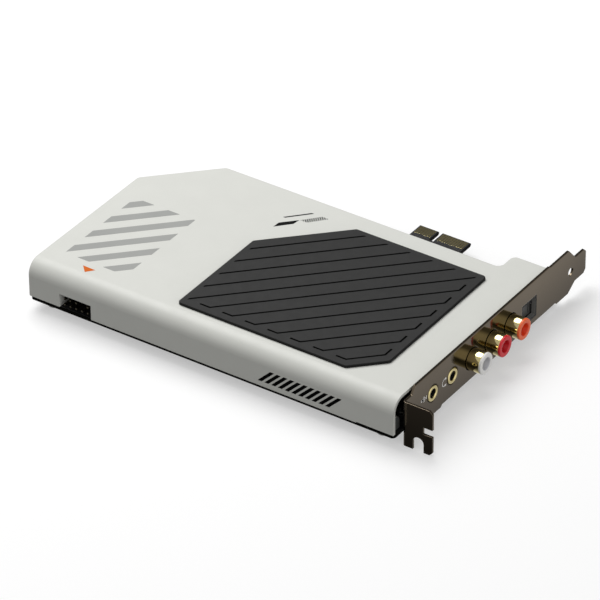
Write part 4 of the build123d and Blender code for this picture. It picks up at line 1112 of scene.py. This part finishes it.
def add_frame(bm, at, low, high, margin):
    """Thin rectangle round a part."""
    x0, y0 = low[0] - margin, low[1] - margin
    x1, y1 = high[0] + margin, high[1] + margin
    add_path(bm, at, [(x0, y0), (x1, y0), (x1, y1), (x0, y1), (x0, y0)], SILK_WIDTH)


def slant_to(start, end, turn_y):
    """Track that leaves along Y, slants at 45 degrees and goes on along Y."""
    reach = abs(end[0] - start[0])
    onward = -1 if end[1] < start[1] else 1
    return [start, (start[0], turn_y), (end[0], turn_y + onward * reach), end]


def finish_print(bm, name, finish, top):
    """Give a print on the board its thickness, into the board."""
    thicken(bm, bm.faces[:], (0.0, 0.0, -TRACE_DEPTH if top else TRACE_DEPTH))
    keep_piece(bm, name, finish)


def contact_columns():
    """X of each contact on the tongue."""
    return sorted({round(middle_of(low, high)[0], 2) for low, high in bodies_of("edge_contacts")})


def strip_parts(node):
    """Boxes of a node's bodies on the bare strip of the board."""
    return [(low, high) for low, high in bodies_of(node) if low[1] > STRIP_NEAR]


def make_upper_tracks(mask):
    """Tracks from the contacts to the strip's parts and on under the cover, and a bus towards the tail."""
    at = board_side(True)
    under_cover = STRIP_NEAR - STRIP_LAP
    columns = contact_columns()
    rear = [x for x in columns if x < 0]
    front = [x for x in columns if x > 0]
    bm = bmesh.new()
    for column, (low, high) in zip(front[::2], sorted(strip_parts("chip_capacitors"))):
        goal = (middle_of(low, high)[0], under_cover)
        add_path(bm, at, slant_to((column, CONTACT_TOP), goal, STRIP_TURN), TRACE_WIDTH)
    for column in front[1::2]:
        end = (column, CONTACT_TOP - SHORT_TRACK)
        add_path(bm, at, [(column, CONTACT_TOP), end], TRACE_WIDTH)
        add_disc(bm, at, end, VIA_RADIUS, PAD_STEPS)
    for index, column in enumerate(rear):
        goal = (column - TRACK_SHIFT + index * TRACK_SPREAD, under_cover)
        turn_y = STRIP_TURN - UPPER_STEP * index
        add_path(bm, at, slant_to((column, CONTACT_TOP), goal, turn_y), TRACE_WIDTH)
    for index in range(BUS_COUNT):
        y = BUS_START - index * BUS_PITCH
        head = BUS_HEAD - index * BUS_PITCH
        tail = BUS_TAIL + index * BUS_PITCH
        end = (tail - BUS_FALL, y - BUS_FALL)
        points = [(head, under_cover), (head, y - BUS_TURN), (head - BUS_TURN, y), (tail, y), end]
        add_path(bm, at, points, TRACE_WIDTH)
        add_disc(bm, at, end, VIA_RADIUS, PAD_STEPS)
    finish_print(bm, "upper_tracks", mask, True)


def make_lower_tracks(mask):
    """Tracks on the back of the board from the contacts to the converters and the sockets."""
    at = board_side(False)
    bm = bmesh.new()
    for index, column in enumerate(contact_columns()):
        row = LOWER_END - LOWER_ROW_PITCH * (index % LOWER_ROWS)
        goal = (column - TRACK_SHIFT - index * TRACK_SPREAD, row)
        turn_y = STRIP_TURN - LOWER_STEP * index
        add_path(bm, at, slant_to((column, CONTACT_TOP), goal, turn_y), TRACE_WIDTH)
        add_disc(bm, at, goal, VIA_RADIUS, PAD_STEPS)
    for index, socket in enumerate(SOCKET_NODES):
        low, high = box_of(socket)
        start = low.x + LANE_START
        for lane in LANE_PLACES:
            y = (low.y + high.y) / 2 + lane
            bend = start - LANE_STRAIGHT
            end = (start - LANE_REACH - index, y + LANE_SLANT)
            add_path(bm, at, [(start, y), (bend, y), (bend - LANE_SLANT, y + LANE_SLANT), end], LANE_WIDTH)
            add_disc(bm, at, end, LANE_PAD_RADIUS, PAD_STEPS)
    finish_print(bm, "lower_tracks", mask, False)


def make_vias(tin):
    """Rows of plated holes on the back of the board."""
    at = board_side(False)
    by_column, by_row, every = VIA_RULE
    bm = bmesh.new()
    for x, y, columns, rows, pitch in VIA_FIELDS:
        for column in range(columns):
            for row in range(rows):
                if (column * by_column + row * by_row) % every:
                    add_disc(bm, at, (x + column * pitch, y + row * pitch), VIA_RADIUS, VIA_STEPS)
    finish_print(bm, "lower_vias", tin, False)


def make_outlines(ink):
    """Printed outlines of parts on both faces of the board."""
    at = board_side(True)
    bm = bmesh.new()
    for low, high in strip_parts("supply_capacitors"):
        add_frame(bm, at, low, high, SILK_MARGIN)
    for node in ("chip_capacitors", "chip_resistors"):
        boxes = strip_parts(node)
        low = [min(box[0][axis] for box in boxes) for axis in range(2)]
        high = [max(box[1][axis] for box in boxes) for axis in range(2)]
        add_frame(bm, at, low, high, 2 * SILK_MARGIN)
    finish_print(bm, "upper_outlines", ink, True)
    at = board_side(False)
    bm = bmesh.new()
    for node in SOCKET_NODES + OUTLINED_NODES:
        low, high = box_of(node)
        high.x = min(high.x, BOARD_END - SILK_INSET)
        add_frame(bm, at, low, high, SILK_MARGIN)
    finish_print(bm, "lower_outlines", ink, False)


def print_board():
    """Everything printed or etched on the board."""
    mask = printed("track_mask_finish", TRACK_BLACK, 0.36, depth=0.002)
    ink = printed("board_ink", OUTLINE_GREY, 0.6, depth=0.002)
    make_upper_tracks(mask)
    make_lower_tracks(mask)
    make_vias(plated("via_tin_finish", VIA_TIN, 0.35))
    make_outlines(ink)


# Studio

def make_floor():
    """Plain pale floor under the card."""
    bm = bmesh.new()
    bmesh.ops.create_grid(bm, x_segments=1, y_segments=1, size=FLOOR_SIZE)
    bmesh.ops.translate(bm, verts=bm.verts, vec=UPRIGHT * (cad_box[0][2] - FLOOR_GAP))
    mesh = mesh_from(bm, "floor")
    white = new_finish("floor_white", FLOOR_GREY, FLOOR_ROUGHNESS)
    shader_of(white).inputs["Emission Color"].default_value = WHITE
    shader_of(white).inputs["Emission Strength"].default_value = FLOOR_GLOW
    mesh.materials.append(white)
    floor = link_object("floor", mesh)
    floor.visible_glossy = False
    floor.visible_diffuse = False


def make_surroundings():
    """Soft room: a pale table below that is brighter behind the card, and a dimmer room above."""
    world = bpy.data.worlds.new("studio")
    bpy.context.scene.world = world
    world.use_nodes = True
    towards = parts_of(world, add_node(world, "ShaderNodeTexCoord").outputs["Generated"])

    def change(axis, light):
        """Soft change of the light along an axis."""
        return spread_over(world, towards[axis], *light, kind="SMOOTHSTEP")

    blend = add_node(world, "ShaderNodeMix", data_type="FLOAT")
    link(world, change("Z", HORIZON), blend.inputs["Factor"])
    table = work_out(world, "MULTIPLY", change("Y", TABLE_LIGHT), change("X", SIDE_SHADE))
    link(world, table, blend.inputs["A"])
    link(world, change("Y", ROOM_LIGHT), blend.inputs["B"])
    strength = work_out(world, "ADD", blend.outputs["Result"], change("X", SIDE_LIGHT))
    background = world.node_tree.nodes["Background"]
    link(world, strength, background.inputs["Strength"])
    background.inputs["Color"].default_value = WHITE


def make_light():
    """Large square soft light that faces the card."""
    light = bpy.data.lights.new("top_softbox", "AREA")
    light.shape = "SQUARE"
    light.size = KEY_SIZE
    light.energy = KEY_POWER
    lamp = link_object("top_softbox", light)
    lamp.location = LIT_POINT + KEY_DISTANCE * KEY_DIRECTION
    lamp.rotation_euler = (-KEY_DIRECTION).to_track_quat("-Z", "Y").to_euler()


def make_camera():
    """Camera of the photograph."""
    data = bpy.data.cameras.new("photo_camera")
    data.sensor_fit = "HORIZONTAL"
    data.sensor_width = CAMERA_SENSOR
    data.lens = CAMERA_LENS
    data.clip_end = CAMERA_REACH
    camera = link_object("photo_camera", data)
    camera.location = CAMERA_PLACE
    camera.rotation_euler = Euler([math.radians(angle) for angle in CAMERA_TURN], "XYZ")
    bpy.context.scene.camera = camera


bpy.context.scene.view_settings.view_transform = "Standard"
dress_nodes()
print_cover()
make_vents()
make_skirt()
make_sockets()
make_guide()
mark_jacks()
make_screws("cover_screws", "cover_pan_screws")
make_screws("bracket_screws", "bracket_pan_screws")
make_solder()
make_end_caps()
make_supply_capacitors()
print_board()
make_floor()
make_surroundings()
make_light()
make_camera()
